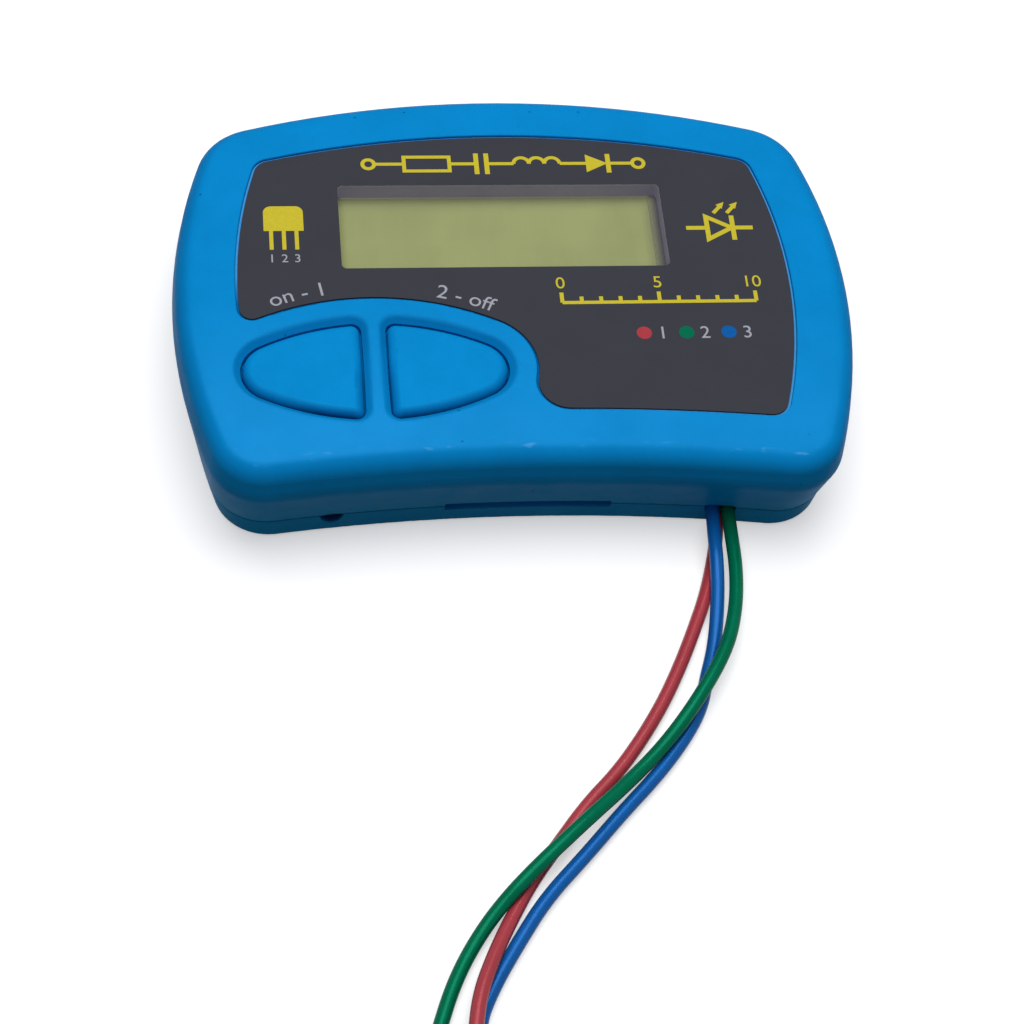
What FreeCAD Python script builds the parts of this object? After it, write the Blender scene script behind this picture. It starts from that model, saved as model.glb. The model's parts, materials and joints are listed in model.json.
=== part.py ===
import FreeCAD, Part
import math
import os
from collections import namedtuple

import Sketcher

# Pocket component tester: a two-piece moulded case with a recessed face label, a character display,
# two half-lens push-buttons and three test leads that end in spring hook clips.
# Millimetres. X runs to the right along the case, Y away from the user and Z up from the table.
# The origin is on the table, under the case, midway between its sides.

Vector = FreeCAD.Vector

doc = FreeCAD.newDocument("component_tester")

# Driving dimensions
sheet = doc.addObject("Spreadsheet::Sheet", "size")

DIMENSIONS = {
    # Case outline: a bulging back, bulging sides and a slightly hollow front. The angles, in degrees, are
    # where one arc hands over to the next. The sides lean outwards from the table to the waist, the front
    # spreads from the parting line to the waist, and above the waist all walls draw in.
    "case_height": 20.0,
    "parting_height": 4.1,
    "waist_height": 14.2,
    "base_half_width": 49.21,
    "waist_half_width": 51.31,
    "side_radius": 85.7,
    "side_center": -3.97,
    "rear_corner": 10.64,
    "front_corner": 8.19,
    "back_angle": 16.18,
    "side_rear_angle": 17.31,
    "side_front_angle": 17.29,
    "front_angle": 6.79,
    "front_spread": 2.35,
    "front_face": -32.8,
    "rim_inset": 0.9,
    "rim_rounding": 3.2,
    "waist_rounding": 6.0,
    "foot_rounding": 1.0,
    "parting_bevel": 0.15,
    # Case walls, and how far a cutting tool runs past the face it starts from
    "wall": 2.0,
    "roof": 2.0,
    "floor": 1.8,
    "lip_gap": 0.1,
    "lip_thickness": 0.9,
    "lip_height": 1.4,
    "overshoot": 1.0,
    # Screw bosses and their screws
    "boss_radius": 3.0,
    "rear_boss_x": 40.0,
    "rear_boss_y": 19.0,
    "front_boss_x": 3.0,
    "front_boss_y": -26.4,
    "boss_gap": 0.2,
    "screw_radius": 1.1,
    "screw_passage": 1.4,
    "pilot_depth": 12.0,
    "screw_length": 11.0,
    "screw_head_radius": 2.2,
    "screw_head_height": 1.5,
    "screw_sink_radius": 2.6,
    "screw_sink_depth": 2.0,
    "screw_cross_length": 2.6,
    "screw_cross_width": 0.6,
    "screw_cross_depth": 0.9,
    # Label bed and label
    "bed_depth": 0.5,
    "bed_edge_rounding": 0.25,
    "label_half_width": 41.9,
    "label_side_radius": 80.0,
    "label_side_center": -3.5,
    "label_back": 25.4,
    "label_back_radius": 144.8,
    "label_front": -27.1,
    "label_front_radius": 345.0,
    "label_corner": 3.0,
    "label_left_corner": 2.2,
    "label_inner_corner": 4.8,
    "label_button_gap": 4.2,
    "label_gap": 0.35,
    "label_thickness": 0.3,
    # Buttons: the two halves of one lens, split by a web
    "button_x": -21.95,
    "button_y": -19.18,
    "lens_half_length": 19.4,
    "lens_half_height": 8.5,
    "lens_tip_radius": 5.0,
    "button_web": 3.9,
    "button_edge_radius": 400.0,
    "button_corner": 1.2,
    "button_gap": 0.25,
    "button_top": 19.9,
    "button_rounding": 1.5,
    "button_rim": 1.0,
    "button_rim_gap": 0.15,
    "button_rim_thickness": 1.0,
    "button_post_radius": 1.7,
    "well_slope": 1.0,
    "well_web_slope": 0.9,
    "well_depth": 0.9,
    "well_edge_rounding": 1.2,
    "switch_offset": 10.0,
    "switch_width": 6.2,
    "switch_height": 3.4,
    "switch_plunger_radius": 1.7,
    "switch_plunger_gap": 0.05,
    "switch_plunger_rise": 1.4,
    "switch_plunger_sink": 1.2,
    "switch_bore_depth": 2.1,
    # Display
    "window_x": -1.15,
    "window_y": 7.36,
    "window_length": 49.7,
    "window_width": 16.06,
    "window_corner": 0.8,
    "window_gap": 0.05,
    "display_level": 16.6,
    "bezel_plate": 0.4,
    "bezel_length": 60.0,
    "bezel_width": 25.0,
    "bezel_right_margin": 1.3,
    "bezel_skirt": 0.4,
    "surround_wall": 1.1,
    "surround_flange": 1.6,
    "surround_flange_height": 0.8,
    "surround_gap": 0.1,
    "glass_length": 58.0,
    "glass_width": 22.6,
    "glass_sheet": 1.0,
    "glass_ledge": 2.2,
    "strip_width": 1.8,
    "strip_length": 52.0,
    "strip_height": 2.4,
    "strip_inset": 0.2,
    "display_board_length": 68.0,
    "display_board_width": 31.0,
    "display_board_hole": 1.3,
    "display_board_hole_inset": 2.5,
    "header_length": 40.6,
    "header_width": 2.5,
    "header_y": 20.0,
    # Main board and what stands on it
    "board_bottom": 4.6,
    "board_thickness": 1.6,
    "board_inset": 4.2,
    "board_boss_clearance": 3.6,
    "post_radius": 2.0,
    "rear_post_x": 36.0,
    "rear_post_y": 10.0,
    "front_post_x": 20.0,
    "front_post_y": -25.6,
    "chip_x": -6.0,
    "chip_y": 6.0,
    "chip_length": 17.9,
    "chip_width": 7.5,
    "chip_height": 2.4,
    "chip_standoff": 0.2,
    "chip_pins": 14,
    "chip_pitch": 1.27,
    "chip_pin_width": 0.42,
    "chip_pin_thickness": 0.2,
    "chip_pin_root": 0.5,
    "chip_pin_shoulder": 0.6,
    "chip_pin_heel": 0.8,
    "chip_pin_reach": 1.4,
    "crystal_x": 14.0,
    "crystal_y": 6.0,
    "crystal_length": 11.0,
    "crystal_width": 4.6,
    "crystal_height": 3.4,
    "crystal_base": 0.4,
    "crystal_base_rim": 0.35,
    "capacitor_x": 26.0,
    "capacitor_y": 4.0,
    "capacitor_pitch": 7.0,
    "capacitor_radius": 2.5,
    "capacitor_height": 3.8,
    "resistor_x": -30.0,
    "resistor_y": 2.0,
    "resistor_pitch": 3.2,
    "resistor_length": 2.0,
    "resistor_width": 1.25,
    "resistor_height": 0.55,
    "transistor_x": 14.0,
    "transistor_y": -8.6,
    "transistor_pitch": 5.0,
    "transistor_length": 2.9,
    "transistor_width": 1.3,
    "transistor_height": 1.0,
    # Battery, a 12 V cell the size of a lighter battery
    "battery_x": 21.6,
    "battery_y": -18.4,
    "battery_radius": 5.15,
    "battery_length": 27.2,
    "battery_nub_radius": 1.9,
    "battery_nub_length": 1.1,
    "cradle_length": 25.2,
    "cradle_base": 0.8,
    "cradle_wall": 1.0,
    "cradle_gap": 0.1,
    "cradle_height": 6.2,
    "contact_thickness": 0.4,
    "contact_width": 7.0,
    "contact_height": 9.0,
    "contact_foot": 3.0,
    # Leads, their exit and the clamp that holds them inside
    "lead_diameter": 2.1,
    "lead_low": 1.75,
    "lead_high": 3.6,
    "lead_middle": 29.5,
    "lead_spread": 1.1,
    "lead_inner_end": -28.0,
    "lead_wall_point": -33.0,
    "lead_bend_share": 0.45,
    "exit_bottom": 0.6,
    "exit_top": 4.8,
    "exit_width": 4.7,
    "exit_low_width": 1.9,
    "exit_shoulder": 3.3,
    "exit_corner": 0.6,
    "exit_reach": 12.0,
    "clamp_length": 8.4,
    "clamp_back": -26.4,
    "clamp_front": -30.6,
    "clamp_top": 6.2,
    "clamp_seat_gap": 0.1,
    "clamp_notch_gap": 0.5,
    # Marks in the front wall
    "pry_slot_x": 0.6,
    "pry_slot_length": 24.8,
    "pry_slot_height": 1.9,
    "pry_slot_depth": 0.9,
    "pry_notch_x": -28.6,
    "pry_notch_radius": 1.75,
    "pry_notch_floor": -33.0,
    "pry_notch_reach": 3.0,
    # Hook clips, along their own axis from the lead end to the hook
    "clip_grip": 3.0,
    "clip_cap_length": 8.0,
    "clip_cap_radius": 3.4,
    "clip_cap_chamfer": 0.6,
    "clip_cap_end": 2.4,
    "clip_waist_start": 3.6,
    "clip_waist_end": 6.4,
    "clip_stop_start": 7.2,
    "clip_stop_radius": 3.1,
    "clip_waist_radius": 2.5,
    "clip_shaft_radius": 2.1,
    "clip_shaft_end": 16.0,
    "clip_barrel_start": 12.6,
    "clip_collar_radius": 4.0,
    "clip_collar_length": 1.8,
    "clip_collar_slope": 0.8,
    "clip_barrel_radius": 2.9,
    "clip_chamber_radius": 2.2,
    "clip_chamber_end": 24.0,
    "clip_taper_start": 27.0,
    "clip_nose_start": 34.0,
    "clip_nose_radius": 1.9,
    "clip_barrel_end": 36.0,
    "clip_hook_wire": 0.8,
    "clip_hook_bore": 0.55,
    "clip_hook_root": 14.0,
    "clip_hook_reach": 38.0,
    "clip_hook_bend": 0.8,
    "clip_hook_return": 1.3,
    "clip_spring_inner": 1.3,
    "clip_spring_outer": 2.0,
}

DERIVED = {
    "roof_level": "=case_height - roof",
    "bed_level": "=case_height - bed_depth",
    "lens_flank_radius": "=((lens_half_length - lens_tip_radius)^2 + lens_half_height^2 - lens_tip_radius^2)"
                         " / (2 * (lens_half_height - lens_tip_radius))",
    "boss_level": "=parting_height + boss_gap",
    "board_top": "=board_bottom + board_thickness",
    "bezel_top": "=display_level + bezel_plate",
    "glass_bottom": "=display_level - 2 * glass_sheet",
    "display_board_top": "=glass_bottom - strip_height",
    "display_board_bottom": "=display_board_top - board_thickness",
    "switch_top": "=board_top + switch_height",
    "plunger_top": "=switch_top + switch_plunger_rise",
    "button_rim_top": "=roof_level - button_rim_gap",
    "button_rim_bottom": "=button_rim_top - button_rim_thickness",
    "battery_axis": "=board_top + cradle_base + battery_radius",
}

for row, (alias, value) in enumerate({**DIMENSIONS, **DERIVED}.items(), start=1):
    sheet.set(f"A{row}", alias.replace("_", " "))
    sheet.set(f"B{row}", str(value))
    sheet.setAlias(f"B{row}", alias)
doc.recompute()


def number(expression):
    """Value of an expression of the sheet, in millimetres."""
    return float(sheet.evalExpression(str(expression)))


def bind(feature, values):
    """Tie properties of a feature to expressions of the sheet."""
    for name, expression in values.items():
        feature.setExpression(name, str(expression))


# Sketches

def new_body(name):
    body = doc.addObject("PartDesign::Body", name)
    body.Label = name
    return body


def new_sketch(body, name, height="0", plane="XY_Plane"):
    """Sketch on one of the body's own planes, moved along that plane's normal."""
    sketch = body.newObject("Sketcher::SketchObject", f"{body.Name}_{name}")
    support = next(item for item in body.Origin.OriginFeatures if item.Role == plane)
    sketch.AttachmentSupport = (support, [""])
    sketch.MapMode = "FlatFace"
    bind(sketch, {"AttachmentOffset.Base.z": height})
    return sketch


def hold(sketch, constraint, expression):
    index = sketch.addConstraint(constraint)
    sketch.setExpression(f"Constraints[{index}]", str(expression))


def pin_point(sketch, geometry, position, x, y):
    """Hold a point of the sketch at two expressions, or on an axis where one of them is zero."""
    for kind, axis, expression in (("DistanceX", -2, x), ("DistanceY", -1, y)):
        if str(expression) == "0":
            sketch.addConstraint(Sketcher.Constraint("PointOnObject", geometry, position, axis))
        else:
            value = number(expression)
            hold(sketch, Sketcher.Constraint(kind, -1, 1, geometry, position, value), expression)


def add_circle(sketch, x, y, radius):
    circle = Part.Circle(Vector(number(x), number(y), 0), Vector(0, 0, 1), number(radius))
    index = sketch.addGeometry(circle, False)
    pin_point(sketch, index, 3, x, y)
    hold(sketch, Sketcher.Constraint("Radius", index, number(radius)), radius)


def add_profile(sketch, points):
    """Closed outline of straight lines through points given as expressions."""
    places = [Vector(number(x), number(y), 0) for x, y in points]
    lines = []
    for start, end in zip(places, places[1:] + places[:1]):
        lines.append(sketch.addGeometry(Part.LineSegment(start, end), False))
    for line, following in zip(lines, lines[1:] + lines[:1]):
        sketch.addConstraint(Sketcher.Constraint("Coincident", line, 2, following, 1))
    for line, (x, y) in zip(lines, points):
        pin_point(sketch, line, 1, x, y)


def add_rectangle(sketch, x, y, length, width):
    left, right = f"{x} - ({length}) / 2", f"{x} + ({length}) / 2"
    low, high = f"{y} - ({width}) / 2", f"{y} + ({width}) / 2"
    add_profile(sketch, [(left, low), (right, low), (right, high), (left, high)])


# An arc of an outline: side is 1 where the outline bulges outwards and -1 where it is hollow.
# A free arc takes its radius from the neighbour that it touches.
OutlineArc = namedtuple("OutlineArc", "x y radius side free", defaults=(1, False))
Circle = namedtuple("Circle", "center radius side")


def corner_center(first, second, radius):
    """Centre of the convex corner arc that touches two arcs of a counter-clockwise outline.

    It lies at a known distance from both arc centres, so it is where two circles meet. Of the two
    places, the corner is the one where the outline turns to the left.
    """
    reach_first = first.radius - first.side * radius
    reach_second = second.radius - second.side * radius
    across = second.center - first.center
    along = (reach_first ** 2 - reach_second ** 2 + across.Length ** 2) / (2 * across.Length)
    aside = math.sqrt(reach_first ** 2 - along ** 2)
    direction = Vector(across).normalize()
    normal = Vector(-direction.y, direction.x, 0)
    for sign in (1, -1):
        center = first.center + direction * along + normal * (sign * aside)
        turn = outward(first, center).cross(outward(second, center)).z
        if turn > 0:
            return center
    raise ValueError("the outline has no such corner")


def outward(circle, corner):
    """Direction out of the outline where a corner arc touches a main arc."""
    return (corner - circle.center).normalize() * circle.side


def touching_point(first, second):
    """Point where two arcs meet that touch from the same side."""
    outer, inner = (first, second) if first.radius > second.radius else (second, first)
    return outer.center + (inner.center - outer.center).normalize() * outer.radius


def add_arc(sketch, circle, start, end):
    """Arc from start to end along the outline; a hollow arc runs the other way round its centre."""
    if circle.side < 0:
        start, end = end, start
    angles = [math.atan2(point.y - circle.center.y, point.x - circle.center.x) for point in (start, end)]
    if angles[1] < angles[0]:
        angles[1] += 2 * math.pi
    curve = Part.Circle(circle.center, Vector(0, 0, 1), circle.radius)
    return sketch.addGeometry(Part.ArcOfCircle(curve, *angles), False)


def add_arc_loop(sketch, arcs, corners):
    """Closed counter-clockwise outline of main arcs joined by tangent corner arcs.

    corners[i] is the radius between arc i and the next arc, or None where the two already touch.
    """
    count = len(arcs)
    circles = [Circle(Vector(number(arc.x), number(arc.y), 0), number(arc.radius), arc.side) for arc in arcs]
    enter, leave, corner_circles = [None] * count, [None] * count, [None] * count
    for index, radius in enumerate(corners):
        following = (index + 1) % count
        if radius is None:
            leave[index] = enter[following] = touching_point(circles[index], circles[following])
            continue
        size = number(radius)
        center = corner_center(circles[index], circles[following], size)
        corner_circles[index] = Circle(center, size, 1)
        leave[index] = center + outward(circles[index], center) * size
        enter[following] = center + outward(circles[following], center) * size

    # Each entry is a geometry index with the positions where the outline enters and leaves it
    chain = []
    for index, arc in enumerate(arcs):
        main = add_arc(sketch, circles[index], enter[index], leave[index])
        chain.append((main, 1, 2) if arc.side > 0 else (main, 2, 1))
        pin_point(sketch, main, 3, arc.x, arc.y)
        if not arc.free:
            hold(sketch, Sketcher.Constraint("Radius", main, circles[index].radius), arc.radius)
        if corner_circles[index]:
            following = (index + 1) % count
            corner = add_arc(sketch, corner_circles[index], leave[index], enter[following])
            chain.append((corner, 1, 2))
            hold(sketch, Sketcher.Constraint("Radius", corner, corner_circles[index].radius), corners[index])
    for (geometry, _, leaving), (following, entering, _) in zip(chain, chain[1:] + chain[:1]):
        sketch.addConstraint(Sketcher.Constraint("Tangent", geometry, leaving, following, entering))


# Features

def add_feature(body, kind, name, values):
    feature = body.newObject(f"PartDesign::{kind}", f"{body.Name}_{name}")
    bind(feature, values)
    return feature


def pad(body, name, sketch, length):
    feature = add_feature(body, "Pad", name, {"Length": length})
    feature.Profile = sketch
    doc.recompute()
    return feature


SMALLEST_CUT = 1e-3
LEVEL_TOLERANCE = 1e-4
SMOOTH_ANGLE = math.radians(5)


def checked_cut(body, volume_before):
    """Stop if the last cut of a body took nothing away."""
    if body.Shape.Volume > volume_before - SMALLEST_CUT:
        raise ValueError(f"{body.Tip.Name} cuts nothing")


def pocket(body, name, sketch, length, upwards=False, both_ways=False):
    volume = body.Shape.Volume
    feature = add_feature(body, "Pocket", name, {"Length": length})
    feature.Profile = sketch
    feature.Reversed = upwards
    feature.Midplane = both_ways
    doc.recompute()
    checked_cut(body, volume)
    return feature


def loft(body, name, lower, high, cut=False):
    """Straight walls through outlines, drawn from the highest one down so that the solid faces outwards."""
    volume = body.Shape.Volume if cut else 0
    feature = body.newObject(f"PartDesign::{'Subtractive' if cut else 'Additive'}Loft", f"{body.Name}_{name}")
    feature.Profile = high
    feature.Sections = lower
    feature.Ruled = True
    doc.recompute()
    if cut:
        checked_cut(body, volume)
    return feature


def fillet(body, name, radius, chosen):
    """Round the edges of a body that a test picks out."""
    base = body.Tip
    names = [f"Edge{index}" for index, edge in enumerate(base.Shape.Edges, start=1) if chosen(edge)]
    feature = add_feature(body, "Fillet", name, {"Radius": radius})
    feature.Base = (base, names)
    doc.recompute()
    return feature


def fillet_level(body, name, level, radius):
    """Round all sharp edges that lie flat at one height."""
    shape, height = body.Tip.Shape, number(level)

    def sharp_and_level(edge):
        if max(abs(edge.BoundBox.ZMin - height), abs(edge.BoundBox.ZMax - height)) > LEVEL_TOLERANCE:
            return False
        middle = edge.valueAt((edge.FirstParameter + edge.LastParameter) / 2)
        faces = shape.ancestorsOfType(edge, Part.Face)
        normals = [face.normalAt(*face.Surface.parameter(middle)) for face in faces]
        return normals[0].getAngle(normals[-1]) > SMOOTH_ANGLE

    return fillet(body, name, radius, sharp_and_level)


def fillet_window(body):
    """Round the upright corners of the display window in a body."""
    middle = Vector(number("size.window_x"), number("size.window_y"), 0)
    half_length, half_width = number("size.window_length / 2"), number("size.window_width / 2")

    def window_corner(edge):
        box = edge.BoundBox
        offset = box.Center - middle
        return (max(box.XLength, box.YLength) < LEVEL_TOLERANCE
                and abs(offset.x) < half_length + LEVEL_TOLERANCE
                and abs(offset.y) < half_width + LEVEL_TOLERANCE)

    return fillet(body, "window_corners", "size.window_corner", window_corner)


def cut_box(body, name, x, y, z, length, width, height):
    """Take a box out of a body, centred in X and Y and standing on z."""
    volume = body.Shape.Volume
    add_feature(body, "SubtractiveBox", name, {
        "Length": length, "Width": width, "Height": height,
        "Placement.Base.x": f"{x} - ({length}) / 2",
        "Placement.Base.y": f"{y} - ({width}) / 2",
        "Placement.Base.z": z,
    })
    doc.recompute()
    checked_cut(body, volume)


def revolve(body, name, points):
    """Turn a profile, given as distance along X and radius, round the X axis."""
    sketch = new_sketch(body, f"{name}_profile")
    add_profile(sketch, points)
    feature = body.newObject("PartDesign::Revolution", f"{body.Name}_{name}")
    feature.Profile = sketch
    feature.ReferenceAxis = (sketch, ["H_Axis"])
    doc.recompute()
    return feature


# Primitives for the small pieces inside

def block(name, x, y, z, length, width, height):
    """Box centred in X and Y and standing on z."""
    shape = doc.addObject("Part::Box", name)
    shape.Label = name
    bind(shape, {
        "Length": length, "Width": width, "Height": height,
        "Placement.Base.x": f"{x} - ({length}) / 2",
        "Placement.Base.y": f"{y} - ({width}) / 2",
        "Placement.Base.z": z,
    })
    return shape


def upright(name, x, y, z, radius, height):
    """Upright cylinder standing on z."""
    shape = doc.addObject("Part::Cylinder", name)
    shape.Label = name
    bind(shape, {
        "Radius": radius, "Height": height,
        "Placement.Base.x": x, "Placement.Base.y": y, "Placement.Base.z": z,
    })
    return shape


def fuse(name, pieces):
    shape = doc.addObject("Part::MultiFuse", name)
    shape.Label = name
    shape.Shapes = pieces
    return shape


def carve(name, base, tool):
    shape = doc.addObject("Part::Cut", name)
    shape.Label = name
    shape.Base, shape.Tool = base, tool
    return shape


def group(name, pieces):
    """Several like pieces, each a solid of its own, in one node."""
    shape = doc.addObject("Part::Compound", name)
    shape.Label = name
    shape.Links = pieces
    return shape


# Outlines of the case, the label and the buttons

def case_outline(body, name, height, insets=("0",), at_waist=False):
    """Sketch of the case outline at a height, drawn once for each inset.

    The sides set the corners, and the back and front arcs are as large as their span and the corners ask.
    An outline at or above the waist has the shape of the waist, where the front corners reach further round.
    """
    sketch = new_sketch(body, name, height)
    lean = "(size.waist_half_width - size.base_half_width)"
    lean_share = "1" if at_waist else f"({height}) / size.waist_height"
    side_x = f"(size.base_half_width + {lean} * {lean_share} - size.side_radius)"
    rear_reach = "(size.side_radius - size.rear_corner)"
    back_reach = f"(({side_x} + {rear_reach} * cos(size.side_rear_angle)) / sin(size.back_angle))"
    back_y = (f"size.side_center + {rear_reach} * sin(size.side_rear_angle)"
              f" - {back_reach} * cos(size.back_angle)")
    corner_reach = "(size.side_radius - size.front_corner)"
    corner_angle = "(size.side_front_angle + size.front_spread)" if at_waist else "size.side_front_angle"
    front_reach = f"(({side_x} + {corner_reach} * cos({corner_angle})) / sin(size.front_angle))"
    front_y = (f"size.side_center - {corner_reach} * sin({corner_angle})"
               f" - {front_reach} * cos(size.front_angle)")
    for inset in insets:
        arcs = [
            OutlineArc(side_x, "size.side_center", f"size.side_radius - ({inset})"),
            OutlineArc("0", back_y, f"{back_reach} + size.rear_corner - ({inset})"),
            OutlineArc(f"-{side_x}", "size.side_center", f"size.side_radius - ({inset})"),
            OutlineArc("0", front_y, f"{front_reach} - size.front_corner + ({inset})", -1),
        ]
        rear, front = f"size.rear_corner - ({inset})", f"size.front_corner - ({inset})"
        add_arc_loop(sketch, arcs, [rear, rear, front, front])
    return sketch


def label_outline(body, name, height, inset="0"):
    """Sketch of the label: it follows the case on three sides and goes round the buttons on the fourth."""
    sketch = new_sketch(body, name, height)
    side_x = "(size.label_half_width - size.label_side_radius)"
    side_radius = f"size.label_side_radius - ({inset})"
    tip_x = "size.button_x + size.lens_half_length - size.lens_tip_radius"
    flank_y = "size.button_y + size.lens_half_height - size.lens_flank_radius"
    arcs = [
        OutlineArc("0", "size.label_front - size.label_front_radius",
                   f"size.label_front_radius + ({inset})", -1),
        OutlineArc(side_x, "size.label_side_center", side_radius),
        OutlineArc("0", "size.label_back - size.label_back_radius", f"size.label_back_radius - ({inset})"),
        OutlineArc(f"-{side_x}", "size.label_side_center", side_radius),
        OutlineArc("size.button_x", flank_y,
                   f"size.lens_flank_radius + size.label_button_gap + ({inset})", -1, True),
        OutlineArc(tip_x, "size.button_y", f"size.lens_tip_radius + size.label_button_gap + ({inset})", -1),
    ]
    corner = f"size.label_corner - ({inset})"
    corners = [corner, corner, corner, f"size.label_left_corner - ({inset})", None,
               f"size.label_inner_corner - ({inset})"]
    add_arc_loop(sketch, arcs, corners)
    return sketch


def button_outline(body, name, height, side, grow="0", edge_grow=None):
    """Sketch of half a lens with rounded corners; side is 1 for the right half and -1 for the left half."""
    sketch = new_sketch(body, name, height)
    edge_grow = edge_grow or grow
    flank_rise = f"{side} * (size.lens_flank_radius - size.lens_half_height)"
    tip_x = f"size.button_x + {side} * (size.lens_half_length - size.lens_tip_radius)"
    edge_x = f"size.button_x + {side} * (size.button_web / 2 + size.button_edge_radius)"
    flank_radius = f"size.lens_flank_radius + ({grow})"
    arcs = [
        OutlineArc("size.button_x", f"size.button_y + {flank_rise}", flank_radius, 1, True),
        OutlineArc(tip_x, "size.button_y", f"size.lens_tip_radius + ({grow})"),
        OutlineArc("size.button_x", f"size.button_y - {flank_rise}", flank_radius, 1, True),
        OutlineArc(edge_x, "size.button_y", f"size.button_edge_radius + ({edge_grow})"),
    ]
    corner = f"size.button_corner + ({grow})"
    add_arc_loop(sketch, arcs, [None, None, corner, corner])
    return sketch


BUTTON_SIDES = {"test": -1, "scroll": 1}
BOSSES = [("-size.rear_boss_x", "size.rear_boss_y"), ("size.rear_boss_x", "size.rear_boss_y"),
          ("size.front_boss_x", "size.front_boss_y")]


def boss_circles(body, name, height, radius):
    sketch = new_sketch(body, name, height)
    for x, y in BOSSES:
        add_circle(sketch, x, y, radius)
    return sketch


def cut_lead_exit(body):
    """Rounded opening for the leads through the front wall, shared by both halves of the case."""
    sketch = new_sketch(body, "exit", "-size.front_face", "XZ_Plane")
    half_outline = [("size.exit_low_width / 2", "size.exit_bottom"),
                    ("size.exit_width / 2", "size.exit_shoulder"),
                    ("size.exit_width / 2", "size.exit_top - size.exit_corner"),
                    ("size.exit_width / 2 - size.exit_corner", "size.exit_top")]
    right = [(f"size.lead_middle + ({x})", z) for x, z in half_outline]
    left = [(f"size.lead_middle - ({x})", z) for x, z in reversed(half_outline)]
    add_profile(sketch, right + left)
    pocket(body, "exit_opening", sketch, "size.exit_reach", both_ways=True)


def cut_pry_slot(body):
    """Shallow slot along the parting line of the front wall, half of it in each half of the case."""
    cut_box(body, "pry_slot", "size.pry_slot_x", "size.front_face",
            "size.parting_height - size.pry_slot_height / 2", "size.pry_slot_length",
            "2 * size.pry_slot_depth", "size.pry_slot_height")


# Upper half of the case: a moulded shell with the label bed, the display opening and the button wells

def make_top_shell():
    body = new_body("top_shell")
    loft(body, "walls", [case_outline(body, "waist", "size.waist_height", at_waist=True),
                         case_outline(body, "shoulder", "size.parting_height + size.parting_bevel"),
                         case_outline(body, "low", "size.parting_height", ["size.parting_bevel"])],
         case_outline(body, "high", "size.case_height", ["size.rim_inset"], at_waist=True))
    fillet_level(body, "waist_bend", "size.waist_height", "size.waist_rounding")
    fillet_level(body, "rim", "size.case_height", "size.rim_rounding")
    loft(body, "inside",
         [case_outline(body, "inner_waist", "size.waist_height", ["size.wall"], at_waist=True),
          case_outline(body, "inner_low", "size.parting_height", ["size.wall"])],
         case_outline(body, "inner_high", "size.roof_level", ["size.wall + size.rim_inset"], at_waist=True),
         cut=True)
    fillet_level(body, "inner_rim", "size.roof_level", "size.rim_rounding - size.wall")
    pad(body, "bosses", boss_circles(body, "boss", "size.boss_level", "size.boss_radius"),
        "size.roof_level + size.bed_depth - size.boss_level")
    pocket(body, "pilots", boss_circles(body, "pilot", "size.boss_level", "size.screw_radius"),
           "size.pilot_depth", upwards=True)
    for name, side in BUTTON_SIDES.items():
        loft(body, f"{name}_well",
             [button_outline(body, f"{name}_well_floor", "size.case_height - size.well_depth", side,
                             "size.button_gap")],
             button_outline(body, f"{name}_well_rim", "size.case_height", side,
                            "size.button_gap + size.well_slope", "size.button_gap + size.well_web_slope"),
             cut=True)
    fillet_level(body, "well_edges", "size.case_height", "size.well_edge_rounding")
    for name, side in BUTTON_SIDES.items():
        pocket(body, f"{name}_opening",
               button_outline(body, f"{name}_hole", "size.case_height", side, "size.button_gap"),
               "size.roof + size.overshoot")
    pocket(body, "label_bed", label_outline(body, "bed", "size.case_height"), "size.bed_depth")
    fillet_level(body, "bed_edge", "size.case_height", "size.bed_edge_rounding")
    cut_box(body, "display_opening", "size.window_x", "size.window_y", "size.roof_level - size.overshoot",
            "size.window_length + 2 * size.surround_wall + 2 * size.surround_gap",
            "size.window_width + 2 * size.surround_wall + 2 * size.surround_gap",
            "size.roof + size.overshoot")
    cut_pry_slot(body)
    cut_lead_exit(body)
    return body


# Lower half of the case: a tray with a lip, screw tubes, board posts and the seat of the lead clamp

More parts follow.
